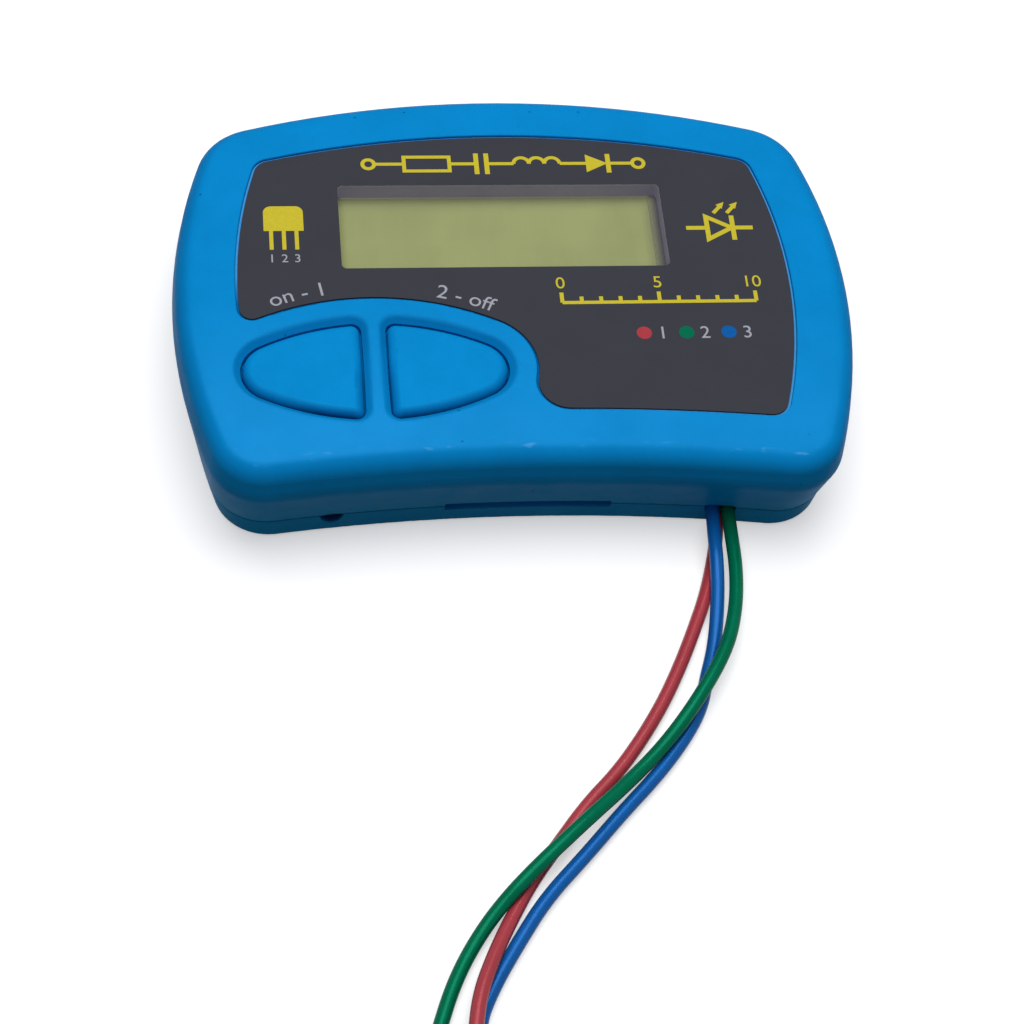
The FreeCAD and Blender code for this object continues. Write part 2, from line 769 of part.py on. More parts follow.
def make_bottom_shell():
    body = new_body("bottom_shell")
    loft(body, "walls", [case_outline(body, "shoulder", "size.parting_height - size.parting_bevel"),
                         case_outline(body, "base", "0")],
         case_outline(body, "edge", "size.parting_height", ["size.parting_bevel"]))
    fillet_level(body, "foot", "0", "size.foot_rounding")
    inner = "size.wall + size.lip_gap + size.lip_thickness"
    pocket(body, "inside", case_outline(body, "inner", "size.parting_height", [inner]),
           "size.parting_height - size.floor")
    pad(body, "lip", case_outline(body, "lip_ring", "size.parting_height",
                                  ["size.wall + size.lip_gap", inner]), "size.lip_height")
    pad(body, "tubes", boss_circles(body, "tube", "size.floor", "size.boss_radius"),
        "size.parting_height - size.floor")
    pocket(body, "passages", boss_circles(body, "passage", "size.parting_height", "size.screw_passage"),
           "size.parting_height")
    pocket(body, "head_sinks", boss_circles(body, "sink", "0", "size.screw_sink_radius"),
           "size.screw_sink_depth", upwards=True)
    posts = new_sketch(body, "posts", "size.floor")
    for sign in ("-", ""):
        add_circle(posts, f"{sign}size.rear_post_x", "size.rear_post_y", "size.post_radius")
        add_circle(posts, f"{sign}size.front_post_x", "size.front_post_y", "size.post_radius")
    pad(body, "board_posts", posts, "size.board_bottom - size.floor")
    cut_box(body, "clamp_seat", "size.lead_middle", "(size.clamp_back + size.clamp_front) / 2",
            "size.exit_bottom", "size.clamp_length + 2 * size.clamp_seat_gap",
            "size.clamp_back - size.clamp_front + 2 * size.clamp_seat_gap", "size.floor")
    cut_pry_slot(body)
    cut_lead_exit(body)
    notch = new_sketch(body, "notch", "-size.pry_notch_floor", "XZ_Plane")
    add_circle(notch, "size.pry_notch_x", "size.parting_height", "size.pry_notch_radius")
    pocket(body, "pry_notch", notch, "size.pry_notch_reach", upwards=True)
    return body


def make_case_screws():
    """Screws put in from below, with a cross recess in each head."""
    screws = []
    face = "size.screw_sink_depth - size.screw_head_height"
    arms = [("along", "size.screw_cross_length", "size.screw_cross_width"),
            ("across", "size.screw_cross_width", "size.screw_cross_length")]
    for index, (x, y) in enumerate(BOSSES):
        head = upright(f"screw_head_{index}", x, y, face, "size.screw_head_radius", "size.screw_head_height")
        shank = upright(f"screw_shank_{index}", x, y, "size.screw_sink_depth", "size.screw_radius",
                        "size.screw_length")
        cross = [block(f"screw_cross_{arm}_{index}", x, y, f"{face} - size.overshoot", length, width,
                       "size.screw_cross_depth + size.overshoot") for arm, length, width in arms]
        screws.append(carve(f"screw_{index}", fuse(f"screw_blank_{index}", [head, shank]),
                            fuse(f"screw_cross_{index}", cross)))
    return group("case_screws", screws)


# Face label with its clear window

def make_face_label():
    body = new_body("face_label")
    pad(body, "sheet", label_outline(body, "outline", "size.bed_level", "size.label_gap"),
        "size.label_thickness")
    cut_box(body, "window", "size.window_x", "size.window_y", "size.bed_level - size.overshoot",
            "size.window_length", "size.window_width", "size.label_thickness + 2 * size.overshoot")
    fillet_window(body)
    return body


def make_window():
    body = new_body("lcd_window")
    outline = new_sketch(body, "outline", "size.bed_level")
    add_rectangle(outline, "size.window_x", "size.window_y", "size.window_length - 2 * size.window_gap",
                  "size.window_width - 2 * size.window_gap")
    pad(body, "pane", outline, "size.label_thickness")
    fillet_window(body)
    return body


# Buttons: a rounded cap, a rim that keeps it under the roof and a post that presses the switch

def make_button(name, side):
    body = new_body(f"{name}_button")
    pad(body, "rim", button_outline(body, "rim_outline", "size.button_rim_bottom", side, "size.button_rim"),
        "size.button_rim_thickness")
    pad(body, "cap", button_outline(body, "cap_outline", "size.button_rim_top", side),
        "size.button_top - size.button_rim_top")
    fillet_level(body, "cap_edge", "size.button_top", "size.button_rounding")
    post = new_sketch(body, "post", "size.plunger_top")
    add_circle(post, f"size.button_x + {side} * size.switch_offset", "size.button_y",
               "size.button_post_radius")
    pad(body, "press_post", post, "size.button_rim_bottom - size.plunger_top")
    return body


def make_switch(name, side):
    """Push switch under a button: a square body and the plunger that slides in it."""
    x, y = f"size.button_x + {side} * size.switch_offset", "size.button_y"
    body = new_body(f"{name}_switch_body")
    outline = new_sketch(body, "outline", "size.board_top")
    add_rectangle(outline, x, y, "size.switch_width", "size.switch_width")
    pad(body, "housing", outline, "size.switch_height")
    bore = new_sketch(body, "bore", "size.switch_top")
    add_circle(bore, x, y, "size.switch_plunger_radius + size.switch_plunger_gap")
    pocket(body, "bore_cut", bore, "size.switch_bore_depth")
    plunger = upright(f"{name}_switch_plunger", x, y, "size.switch_top - size.switch_plunger_sink",
                      "size.switch_plunger_radius", "size.switch_plunger_sink + size.switch_plunger_rise")
    return [body, plunger]


# Display: a frame round the opening, a metal bezel, the glass, rubber contact strips and the board

def make_lcd_surround():
    body = new_body("lcd_surround")
    outline = new_sketch(body, "outline", "size.bezel_top")
    add_rectangle(outline, "size.window_x", "size.window_y", "size.window_length + 2 * size.surround_wall",
                  "size.window_width + 2 * size.surround_wall")
    pad(body, "tunnel", outline, "size.bed_level - size.bezel_top")
    flange = new_sketch(body, "flange_outline", "size.bezel_top")
    add_rectangle(flange, "size.window_x", "size.window_y",
                  "size.window_length + 2 * size.surround_wall + 2 * size.surround_flange",
                  "size.window_width + 2 * size.surround_wall + 2 * size.surround_flange")
    pad(body, "flange", flange, "size.surround_flange_height")
    cut_box(body, "sight", "size.window_x", "size.window_y", "size.bezel_top - size.overshoot",
            "size.window_length", "size.window_width", "size.case_height")
    fillet_window(body)
    return body


def make_lcd_bezel():
    body = new_body("lcd_bezel")
    outline = new_sketch(body, "outline", "size.display_board_top")
    add_rectangle(outline, "size.window_x", "size.window_y", "size.bezel_length", "size.bezel_width")
    pad(body, "can", outline, "size.bezel_top - size.display_board_top")
    cut_box(body, "inside", "size.window_x", "size.window_y", "size.display_board_top - size.overshoot",
            "size.bezel_length - 2 * size.bezel_skirt", "size.bezel_width - 2 * size.bezel_skirt",
            "size.display_level - size.display_board_top + size.overshoot")
    cut_box(body, "sight", "size.window_x - size.bezel_right_margin / 2", "size.window_y",
            "size.display_level - size.overshoot", "size.window_length - size.bezel_right_margin",
            "size.window_width", "size.bezel_plate + 2 * size.overshoot")
    return body


def make_lcd_glass():
    lower = block("lcd_rear_sheet", "size.window_x", "size.window_y", "size.glass_bottom",
                  "size.glass_length", "size.glass_width", "size.glass_sheet")
    upper = block("lcd_front_sheet", "size.window_x", "size.window_y", "size.glass_bottom + size.glass_sheet",
                  "size.glass_length", "size.glass_width - size.glass_ledge", "size.glass_sheet")
    return fuse("lcd_glass", [lower, upper])


def make_lcd_connectors():
    strips = []
    for index, sign in enumerate("+-"):
        y = f"size.window_y {sign} ((size.glass_width - size.strip_width) / 2 - size.strip_inset)"
        strips.append(block(f"lcd_strip_{index}", "size.window_x", y, "size.display_board_top",
                            "size.strip_length", "size.strip_width",
                            "size.glass_bottom - size.display_board_top"))
    return group("lcd_connectors", strips)


def make_lcd_board():
    body = new_body("lcd_board")
    outline = new_sketch(body, "outline", "size.display_board_bottom")
    add_rectangle(outline, "size.window_x", "size.window_y", "size.display_board_length",
                  "size.display_board_width")
    pad(body, "plate", outline, "size.board_thickness")
    holes = new_sketch(body, "holes", "size.display_board_top")
    across = "(size.display_board_length / 2 - size.display_board_hole_inset)"
    along = "(size.display_board_width / 2 - size.display_board_hole_inset)"
    for x_sign in "+-":
        for y_sign in "+-":
            add_circle(holes, f"size.window_x {x_sign} {across}", f"size.window_y {y_sign} {along}",
                       "size.display_board_hole")
    pocket(body, "corner_holes", holes, "size.board_thickness")
    return body


def make_lcd_header():
    return block("lcd_header", "size.window_x", "size.header_y", "size.board_top", "size.header_length",
                 "size.header_width", "size.display_board_bottom - size.board_top")


# Main board and its components

def make_main_board():
    body = new_body("main_board")
    pad(body, "plate", case_outline(body, "outline", "size.board_bottom", ["size.board_inset"]),
        "size.board_thickness")
    pocket(body, "boss_notches", boss_circles(body, "notches", "size.board_top", "size.board_boss_clearance"),
           "size.board_thickness")
    cut_box(body, "clamp_notch", "size.lead_middle", "size.clamp_front", "size.board_bottom - size.overshoot",
            "size.clamp_length + 2 * size.clamp_notch_gap",
            "2 * (size.clamp_back - size.clamp_front + size.clamp_notch_gap)",
            "size.board_thickness + 2 * size.overshoot")
    return body


def make_microcontroller():
    body = new_body("microcontroller")
    bottom = "size.board_top + size.chip_standoff"
    outline = new_sketch(body, "outline", bottom)
    add_rectangle(outline, "size.chip_x", "size.chip_y", "size.chip_length", "size.chip_width")
    pad(body, "package", outline, "size.chip_height")
    row_axis = next(item for item in body.Origin.OriginFeatures if item.Role == "X_Axis")
    first_pin = "size.chip_x - size.chip_pitch * (size.chip_pins - 1) / 2 - size.chip_pin_width / 2"
    middle = f"{bottom} + size.chip_height / 2"
    foot = "size.board_top + size.chip_pin_thickness"
    for side, sign in (("front", "-"), ("back", "+")):
        # One gull-wing pin in profile, repeated along the package
        edge = f"size.chip_y {sign} size.chip_width / 2"
        shoulder = f"{edge} {sign} size.chip_pin_shoulder"
        toe = f"{edge} {sign} size.chip_pin_reach"
        inner_bend = f"{shoulder} {'+' if sign == '-' else '-'} size.chip_pin_thickness"
        root = f"{edge} {'+' if sign == '-' else '-'} size.chip_pin_root"
        pin = new_sketch(body, f"{side}_pin", first_pin, "YZ_Plane")
        add_profile(pin, [(root, middle), (root, f"{middle} + size.chip_pin_thickness"),
                          (shoulder, f"{middle} + size.chip_pin_thickness"),
                          (f"{edge} {sign} size.chip_pin_heel", foot), (toe, foot), (toe, "size.board_top"),
                          (shoulder, "size.board_top"), (inner_bend, middle)])
        first = pad(body, f"{side}_first_pin", pin, "size.chip_pin_width")
        row = add_feature(body, "LinearPattern", f"{side}_row", {
            "Length": "size.chip_pitch * (size.chip_pins - 1)", "Occurrences": "size.chip_pins"})
        row.Originals = [first]
        row.Direction = (row_axis, [""])
        body.Tip = row
        doc.recompute()
    return body


def make_crystal():
    base = block("crystal_base", "size.crystal_x", "size.crystal_y", "size.board_top",
                 "size.crystal_length + 2 * size.crystal_base_rim",
                 "size.crystal_width + 2 * size.crystal_base_rim", "size.crystal_base")
    can = block("crystal_can", "size.crystal_x", "size.crystal_y", "size.board_top + size.crystal_base",
                "size.crystal_length", "size.crystal_width", "size.crystal_height - size.crystal_base")
    return fuse("crystal", [base, can])


CAPACITOR_STEPS = {"front": -1, "middle": 0, "back": 1}


def make_capacitors():
    cans = []
    for place, step in CAPACITOR_STEPS.items():
        cans.append(upright(f"capacitor_{place}", "size.capacitor_x",
                            f"size.capacitor_y + {step} * size.capacitor_pitch",
                            "size.board_top", "size.capacitor_radius", "size.capacitor_height"))
    return group("capacitors", cans)


def make_chip_group(name, kind, columns, rows):
    """Grid of small surface-mounted parts of one kind."""
    pieces = []
    for column in range(columns):
        for row in range(rows):
            pieces.append(block(f"{kind}_{column}_{row}", f"size.{kind}_x + {column} * size.{kind}_pitch",
                                f"size.{kind}_y + {row} * size.{kind}_pitch", "size.board_top",
                                f"size.{kind}_length", f"size.{kind}_width", f"size.{kind}_height"))
    return group(name, pieces)


# Battery lying in its cradle, with a contact plate at each end

def make_battery():
    body = new_body("battery")
    end = "size.battery_length / 2"
    nub = f"{end} + size.battery_nub_length"
    revolve(body, "cell", [(f"-{end}", "0"), (f"-{end}", "size.battery_radius"), (end, "size.battery_radius"),
                           (end, "size.battery_nub_radius"), (nub, "size.battery_nub_radius"), (nub, "0")])
    bind(body, {"Placement.Base.x": "size.battery_x", "Placement.Base.y": "size.battery_y",
                "Placement.Base.z": "size.battery_axis"})
    return body


def make_battery_cradle():
    body = new_body("battery_cradle")
    width = "2 * (size.battery_radius + size.cradle_gap + size.cradle_wall)"
    outline = new_sketch(body, "outline", "size.board_top")
    add_rectangle(outline, "size.battery_x", "size.battery_y", "size.cradle_length", width)
    pad(body, "trough", outline, "size.cradle_height")
    bed = new_sketch(body, "bed", "size.battery_x", "YZ_Plane")
    add_circle(bed, "size.battery_y", "size.battery_axis", "size.battery_radius + size.cradle_gap")
    pocket(body, "bed_cut", bed, "size.battery_length", both_ways=True)
    return body


def make_battery_contact(name, sign):
    """Bent contact plate: an upright leaf against the cell and a foot on the board."""
    body = new_body(name)
    reach = "size.battery_length / 2"
    if sign == "+":
        reach += " + size.battery_nub_length"
    near = f"size.battery_x {sign} ({reach})"
    far = f"size.battery_x {sign} ({reach} + size.contact_thickness)"
    toe = f"size.battery_x {sign} ({reach} + size.contact_foot)"
    leaf = new_sketch(body, "leaf", "-size.battery_y", "XZ_Plane")
    foot = "size.board_top + size.contact_thickness"
    add_profile(leaf, [(near, "size.board_top"), (toe, "size.board_top"), (toe, foot), (far, foot),
                       (far, "size.board_top + size.contact_height"),
                       (near, "size.board_top + size.contact_height")])
    feature = pad(body, "plate", leaf, "size.contact_width")
    feature.Midplane = True
    doc.recompute()
    return body


# Leads. Each route starts in the clamp, leaves through the front wall, lies on the table and ends in
# the cap of its clip. The green lead goes over the blue one and later over the red one.

def lead_start(across, height):
    """First two points of a lead: in the clamp and in the front wall."""
    x, z = number(f"size.lead_middle + ({across})"), number(height)
    return [(x, number("size.lead_inner_end"), z), (x, number("size.lead_wall_point"), z)]


LEAD_ROUTES = {
    "green_lead": lead_start("size.lead_spread", "size.lead_high") + [
        (31.0, -38.5, 3.6), (31.0, -45.0, 3.4), (29.8, -52.0, 3.7), (26.9, -59.0, 4.2), (21.2, -67.4, 4.2),
        (15.9, -73.4, 2.0), (10.0, -79.0, 2.2), (3.7, -85.0, 4.2), (-4.6, -92.6, 4.2), (-9.6, -97.2, 2.1),
        (-13.4, -102.2, 1.15), (-16.0, -107.4, 1.15), (-18.0, -113.0, 1.15), (-20.1, -119.0, 1.15),
        (-22.7, -125.0, 1.3), (-25.3, -130.4, 2.4), (-27.6, -135.2, 4.0), (-30.0, -140.2, 4.0)],
    "blue_lead": lead_start("-size.lead_spread", "size.lead_high") + [
        (28.5, -38.0, 3.8), (28.3, -44.0, 3.1), (27.6, -50.0, 1.7), (26.0, -56.6, 1.15), (24.4, -62.0, 1.15),
        (23.4, -67.0, 1.15), (20.4, -72.2, 1.15), (15.8, -77.6, 1.15), (9.8, -82.9, 1.15), (3.8, -88.8, 1.15),
        (-1.6, -95.2, 1.15), (-6.2, -101.4, 1.15), (-9.3, -107.2, 1.15), (-11.0, -113.0, 1.15),
        (-11.2, -119.0, 1.15), (-10.2, -125.0, 1.3), (-8.2, -130.6, 2.4), (-6.0, -135.6, 4.0),
        (-3.8, -140.6, 4.0)],
    "red_lead": lead_start("0", "size.lead_low") + [
        (28.6, -37.6, 1.3), (27.2, -42.4, 1.15), (25.3, -47.8, 1.15), (23.0, -53.6, 1.15),
        (20.5, -59.4, 1.15), (17.4, -65.4, 1.15), (13.4, -71.2, 1.15), (8.8, -76.6, 1.15), (4.2, -81.6, 1.15),
        (0.5, -87.0, 1.15), (-3.2, -92.8, 1.15), (-7.4, -98.4, 1.15), (-10.8, -104.2, 1.15),
        (-13.0, -110.2, 1.15), (-14.6, -116.4, 1.15), (-15.6, -122.8, 1.15), (-16.2, -129.0, 1.5),
        (-16.5, -134.4, 3.2), (-16.7, -138.6, 4.0), (-16.9, -142.8, 4.0)],
}


def lead_path(name, points):
    """Straight runs joined by the largest tangent arcs that the runs leave room for."""
    places = [Vector(*point) for point in points]
    edges = []
    position = places[0]
    radii = []
    for before, corner, after in zip(places, places[1:], places[2:]):
        back, ahead = before - corner, after - corner
        turn = math.pi - back.getAngle(ahead)
        trim = number("size.lead_bend_share") * min(back.Length, ahead.Length)
        radii.append(trim / math.tan(turn / 2))
        start = corner + Vector(back).normalize() * trim
        end = corner + Vector(ahead).normalize() * trim
        bisector = (Vector(back).normalize() + Vector(ahead).normalize()).normalize()
        depth = radii[-1] / math.cos(turn / 2) - radii[-1]
        edges.append(Part.LineSegment(position, start).toShape())
        edges.append(Part.Arc(start, corner + bisector * depth, end).toShape())
        position = end
    edges.append(Part.LineSegment(position, places[-1]).toShape())
    path = Part.Wire(edges)
    print(f"{name}: length {path.Length:.1f}, bend radii from {min(radii):.1f} to {max(radii):.1f}")
    return path


VOLUME_TOLERANCE = 0.01


def make_lead(name, points):
    radius = number("size.lead_diameter / 2")
    path = lead_path(name, points)
    along = Vector(*points[1]) - Vector(*points[0])
    section = Part.Wire(Part.makeCircle(radius, Vector(*points[0]), along))
    tube = path.makePipeShell([section], True, True)
    expected = math.pi * radius ** 2 * path.Length
    if abs(tube.Volume - expected) > VOLUME_TOLERANCE * expected:
        raise ValueError(f"{name} has volume {tube.Volume:.1f}, not {expected:.1f}")
    lead = doc.addObject("Part::Feature", name)
    lead.Label = name
    lead.Shape = tube
    return lead


def make_lead_clamp():
    body = new_body("lead_clamp")
    outline = new_sketch(body, "outline", "size.exit_bottom")
    add_rectangle(outline, "size.lead_middle", "(size.clamp_back + size.clamp_front) / 2",
                  "size.clamp_length", "size.clamp_back - size.clamp_front")
    pad(body, "block", outline, "size.clamp_top - size.exit_bottom")
    bores = new_sketch(body, "bores", "-size.clamp_front", "XZ_Plane")
    add_circle(bores, "size.lead_middle", "size.lead_low", "size.lead_diameter / 2")
    for sign in "+-":
        add_circle(bores, f"size.lead_middle {sign} size.lead_spread", "size.lead_high",
                   "size.lead_diameter / 2")
    pocket(body, "lead_bores", bores, "2 * (size.lead_inner_end - size.clamp_front)", both_ways=True)
    return body


# Hook clips: the cap and shaft are fixed to the lead, the barrel slides back over them and bares the hook

def clip_placement(points):
    """Frame of a clip: its X axis runs on from the last run of the lead."""
    end, before = Vector(*points[-1]), Vector(*points[-2])
    heading = (end - before).normalize()
    return FreeCAD.Placement(end - heading * number("size.clip_grip"),
                             FreeCAD.Rotation(Vector(1, 0, 0), heading))


def make_clip_plunger(name):
    body = new_body(f"{name}_clip_plunger")
    lead, wire = "size.lead_diameter / 2", "size.clip_hook_wire / 2"
    revolve(body, "cap", [
        ("0", lead), ("0", "size.clip_cap_radius - size.clip_cap_chamfer"),
        ("size.clip_cap_chamfer", "size.clip_cap_radius"), ("size.clip_cap_end", "size.clip_cap_radius"),
        ("size.clip_waist_start", "size.clip_waist_radius"),
        ("size.clip_waist_end", "size.clip_waist_radius"),
        ("size.clip_stop_start", "size.clip_stop_radius"), ("size.clip_cap_length", "size.clip_stop_radius"),
        ("size.clip_cap_length", "size.clip_shaft_radius"), ("size.clip_shaft_end", "size.clip_shaft_radius"),
        ("size.clip_shaft_end", wire), ("size.clip_hook_root", wire), ("size.clip_hook_root", "0"),
        ("size.clip_grip", "0"), ("size.clip_grip", lead)])
    return body


def make_clip_barrel(name):
    body = new_body(f"{name}_clip_barrel")
    start = "size.clip_barrel_start"
    collar = f"{start} + size.clip_collar_length"
    revolve(body, "barrel", [
        (start, "size.clip_chamber_radius"), (start, "size.clip_collar_radius"),
        (collar, "size.clip_collar_radius"),
        (f"{collar} + size.clip_collar_slope", "size.clip_barrel_radius"),
        ("size.clip_taper_start", "size.clip_barrel_radius"),
        ("size.clip_nose_start", "size.clip_nose_radius"), ("size.clip_barrel_end", "size.clip_nose_radius"),
        ("size.clip_barrel_end", "size.clip_hook_bore"), ("size.clip_chamber_end", "size.clip_hook_bore"),
        ("size.clip_chamber_end", "size.clip_chamber_radius")])
    return body


def make_clip_spring(name):
    """Plain sleeve that fills the place of the coil spring in the barrel's chamber."""
    body = new_body(f"{name}_clip_spring")
    revolve(body, "sleeve", [
        ("size.clip_shaft_end", "size.clip_spring_inner"), ("size.clip_shaft_end", "size.clip_spring_outer"),
        ("size.clip_chamber_end", "size.clip_spring_outer"),
        ("size.clip_chamber_end", "size.clip_spring_inner")])
    return body


def make_clip_hook(name):
    """Wire that runs through the barrel and turns back at its nose."""
    root, reach = number("size.clip_hook_root"), number("size.clip_hook_reach")
    bend, back = number("size.clip_hook_bend"), number("size.clip_hook_return")
    radius = number("size.clip_hook_wire / 2")
    turn = reach - bend
    edges = [
        Part.LineSegment(Vector(root, 0, 0), Vector(turn, 0, 0)).toShape(),
        Part.Arc(Vector(turn, 0, 0), Vector(reach, bend, 0), Vector(turn, 2 * bend, 0)).toShape(),
        Part.LineSegment(Vector(turn, 2 * bend, 0), Vector(turn - back + bend, 2 * bend, 0)).toShape(),
    ]
    section = Part.Wire(Part.makeCircle(radius, Vector(root, 0, 0), Vector(1, 0, 0)))
    hook = doc.addObject("Part::Feature", f"{name}_clip_hook")
    hook.Label = f"{name}_clip_hook"
    hook.Shape = Part.Wire(edges).makePipeShell([section], True, True)
    return hook


def make_clip(name, points):
    pieces = [make_clip_plunger(name), make_clip_barrel(name), make_clip_spring(name), make_clip_hook(name)]
    for piece in pieces:
        piece.Placement = clip_placement(points)
    return pieces


# The whole tester
nodes = [
    make_bottom_shell(), make_top_shell(), make_case_screws(), make_face_label(), make_window(),
    make_lcd_surround(), make_lcd_bezel(), make_lcd_glass(), make_lcd_connectors(), make_lcd_board(),
    make_lcd_header(), make_main_board(), make_microcontroller(), make_crystal(), make_capacitors(),
    make_chip_group("resistors", "resistor", 3, 4), make_chip_group("transistors", "transistor", 3, 1),
    make_battery(), make_battery_cradle(), make_battery_contact("battery_positive_contact", "+"),
    make_battery_contact("battery_negative_contact", "-"), make_lead_clamp(),
]
for name, side in BUTTON_SIDES.items():
    nodes.append(make_button(name, side))
    nodes.extend(make_switch(name, side))
for name, route in LEAD_ROUTES.items():
    nodes.append(make_lead(name, route))
    nodes.extend(make_clip(name.replace("_lead", ""), route))
doc.recompute()

# Nothing is written unless every object and every sub-part is sound
for item in doc.Objects:
    if "Invalid" in item.State or "Error" in item.State:
        raise ValueError(f"{item.Label} failed: {item.State}")
for node in nodes:
    if node.Shape.isNull() or not node.Shape.isValid():
        raise ValueError(f"{node.Label} has no valid shape")

os.makedirs("parts", exist_ok=True)
for node in nodes:
    node.Shape.exportStep(f"parts/{node.Label}.step")
print(f"{len(nodes)} sub-parts")
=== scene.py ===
import json
import math

import bmesh
import bpy
import numpy as np
from mathutils import Euler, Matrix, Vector


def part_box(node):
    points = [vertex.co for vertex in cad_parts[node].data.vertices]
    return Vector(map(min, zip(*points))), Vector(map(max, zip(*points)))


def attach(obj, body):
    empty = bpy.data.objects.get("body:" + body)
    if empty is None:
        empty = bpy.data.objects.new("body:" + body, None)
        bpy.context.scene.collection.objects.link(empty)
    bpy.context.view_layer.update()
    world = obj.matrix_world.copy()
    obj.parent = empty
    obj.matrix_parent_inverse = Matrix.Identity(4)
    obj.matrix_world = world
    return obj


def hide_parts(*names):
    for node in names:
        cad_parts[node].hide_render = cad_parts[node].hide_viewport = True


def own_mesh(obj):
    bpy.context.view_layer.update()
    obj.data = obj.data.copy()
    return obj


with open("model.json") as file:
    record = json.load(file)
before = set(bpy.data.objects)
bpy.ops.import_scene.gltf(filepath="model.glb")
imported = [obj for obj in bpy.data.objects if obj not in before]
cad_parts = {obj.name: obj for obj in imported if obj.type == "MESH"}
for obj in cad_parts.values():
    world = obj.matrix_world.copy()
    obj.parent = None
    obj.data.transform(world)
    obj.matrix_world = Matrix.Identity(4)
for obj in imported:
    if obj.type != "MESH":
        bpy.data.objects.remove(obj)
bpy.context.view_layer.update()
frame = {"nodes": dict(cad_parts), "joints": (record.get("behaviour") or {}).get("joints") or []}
nodes = frame["nodes"]
scene = bpy.context.scene

# Case: two halves moulded in blue ABS, closed along a parting line low on the wall and screwed together
# from below. The mould is spark eroded, so the skin is satin with a very fine grain. Handling leaves dust
# on it, and small pale nicks where the rim begins to turn down, painted where the rim's highlight falls so
# that they stand in for its glints too. Light and shade are painted on it as well.

MILLIMETRE = 0.001
CASE_BLUE = (9, 138, 207)
LIT_BLUE = (48, 168, 244)
BOUNCE_BLUE = (46, 164, 222)
NICK_GLINT_BLUE = (100, 184, 244)
DUST_BLUE = (0, 62, 104)
SHADE_BLUE = (0, 22, 92)
GAP_LIGHT_BLUE = (90, 165, 222)
LEVEL_FACES = (0.9, 0.97)
FLAT_FACES = (0.97, 0.99)
STEEP_FACES = (0.3, 0.7)
PATCHES = (0.75, 1.25)
LIT_DEPTH = (-30.0, -6.0)
LIT_WIDTH = (-30.0, 25.0)
LIT_SHARES = (0.26, 0.13)
BOUNCE_HEIGHT = (4.0, 9.0)
BOUNCE_SHARE = 0.6
NICK_GLINT_FRONT = (-32.0, -31.5)
NICK_GLINT_TURN = ((0.86, 0.95), (0.985, 0.999))
NICK_GLINT_SPREAD = (0.62, 0.78)
NICK_GLINT_SHARE = 0.5
WELL_CENTRE = (-21.95, -19.18, 0)
WELL_REACH = (25.0, 12.5, 1000)
WELL_EDGE = (0.98, 1.0)
WELL_LEVELS = ((17.0, 18.0), (19.8, 20.0))
WELL_DEPTH = (-24.0, -14.0)
WELL_SHARES = (0.1, 0.25)
RIM_SLOPES = ((0.35, 0.6), (0.85, 0.97))
RIM_LEVELS = (10.0, 13.0)
RIM_WIDTH = (-40.0, 40.0)
RIM_SHARES = (0.14, 0.05)
SEAM_HEIGHT = 4.1
SEAM_REACH = (0.08, 0.16)
SEAM_SHARE = 0.45
NOTCH_PLACE = (-28.6, -33.0, 3.6)
NOTCH_REACH = (1.5, 2.1)
NOTCH_SHARE = 0.75
BED_FLOOR = 19.5
BED_MIDDLE = 19.75
BED_REACH = (0.15, 0.25)
BED_SHARE = 0.35
GAP_LIGHT_REACH = (0.05, 0.06)
GAP_LIGHT_SHARE = 0.55
GAP_SHADE_REACH = (1.25, 1.6)
DUST_SPREAD = (0.86, 0.89)
DUST_SHARE = 0.5


def linear(red, green, blue):
    """Linear colour of three 8-bit screen values."""
    share = np.array([red, green, blue]) / 255
    curve = np.where(share <= 0.04045, share / 12.92, ((share + 0.055) / 1.055) ** 2.4)
    return (*curve.tolist(), 1.0)


def metres(*values):
    return [value * MILLIMETRE for value in values]


def new_material(name, **constants):
    """New material with its node tree and its shader, whose constant inputs are set by their names."""
    material = bpy.data.materials.new(name)
    material.use_nodes = True
    tree = material.node_tree
    shader = tree.nodes["Principled BSDF"]
    for socket, value in constants.items():
        shader.inputs[socket.replace("_", " ")].default_value = value
    return material, tree, shader


def add_node(tree, kind, inputs, **settings):
    """New shader node; each input takes a value or the output that feeds it."""
    made = tree.nodes.new(kind)
    for name, value in settings.items():
        setattr(made, name, value)
    for name, value in inputs.items():
        if isinstance(value, bpy.types.NodeSocket):
            tree.links.new(value, made.inputs[name])
        else:
            made.inputs[name].default_value = value
    return made


def noise(tree, size_mm, detail=2.0, roughness=0.5, stretch=(1, 1, 1)):
    """Noise with features of about the given size, longer along an axis where stretch is above one."""
    place = add_node(tree, "ShaderNodeTexCoord", {})
    scale = [1 / (size_mm * MILLIMETRE * share) for share in stretch]
    drawn = add_node(tree, "ShaderNodeMapping", {"Vector": place.outputs["Object"], "Scale": scale})
    made = add_node(tree, "ShaderNodeTexNoise", {
        "Vector": drawn.outputs["Vector"], "Scale": 1.0, "Detail": detail, "Roughness": roughness})
    return made.outputs["Fac"]


def between(tree, factor, low, high, start=0.3, end=0.7):
    """Value that runs from low to high as a factor runs from start to end, and stays level beyond."""
    made = add_node(tree, "ShaderNodeMapRange", {
        "Value": factor, "From Min": start, "From Max": end, "To Min": low, "To Max": high})
    return made.outputs["Result"]


def ramp(tree, distance, low, high, ends):
    """Value that runs from low to high between two distances in millimetres."""
    return between(tree, distance, low, high, *metres(*ends))


def product(tree, first, *others):
    """Several values multiplied."""
    for other in others:
        first = add_node(tree, "ShaderNodeMath", {0: first, 1: other}, operation="MULTIPLY").outputs[0]
    return first


def joined(tree, first, *others):
    """The largest of several masks."""
    for other in others:
        first = add_node(tree, "ShaderNodeMath", {0: first, 1: other}, operation="MAXIMUM").outputs[0]
    return first


def band(tree, value, rise, fall):
    """1 where a value lies between a rise and a fall, which each have a start and an end."""
    return product(tree, between(tree, value, 0, 1, *rise), between(tree, value, 1, 0, *fall))


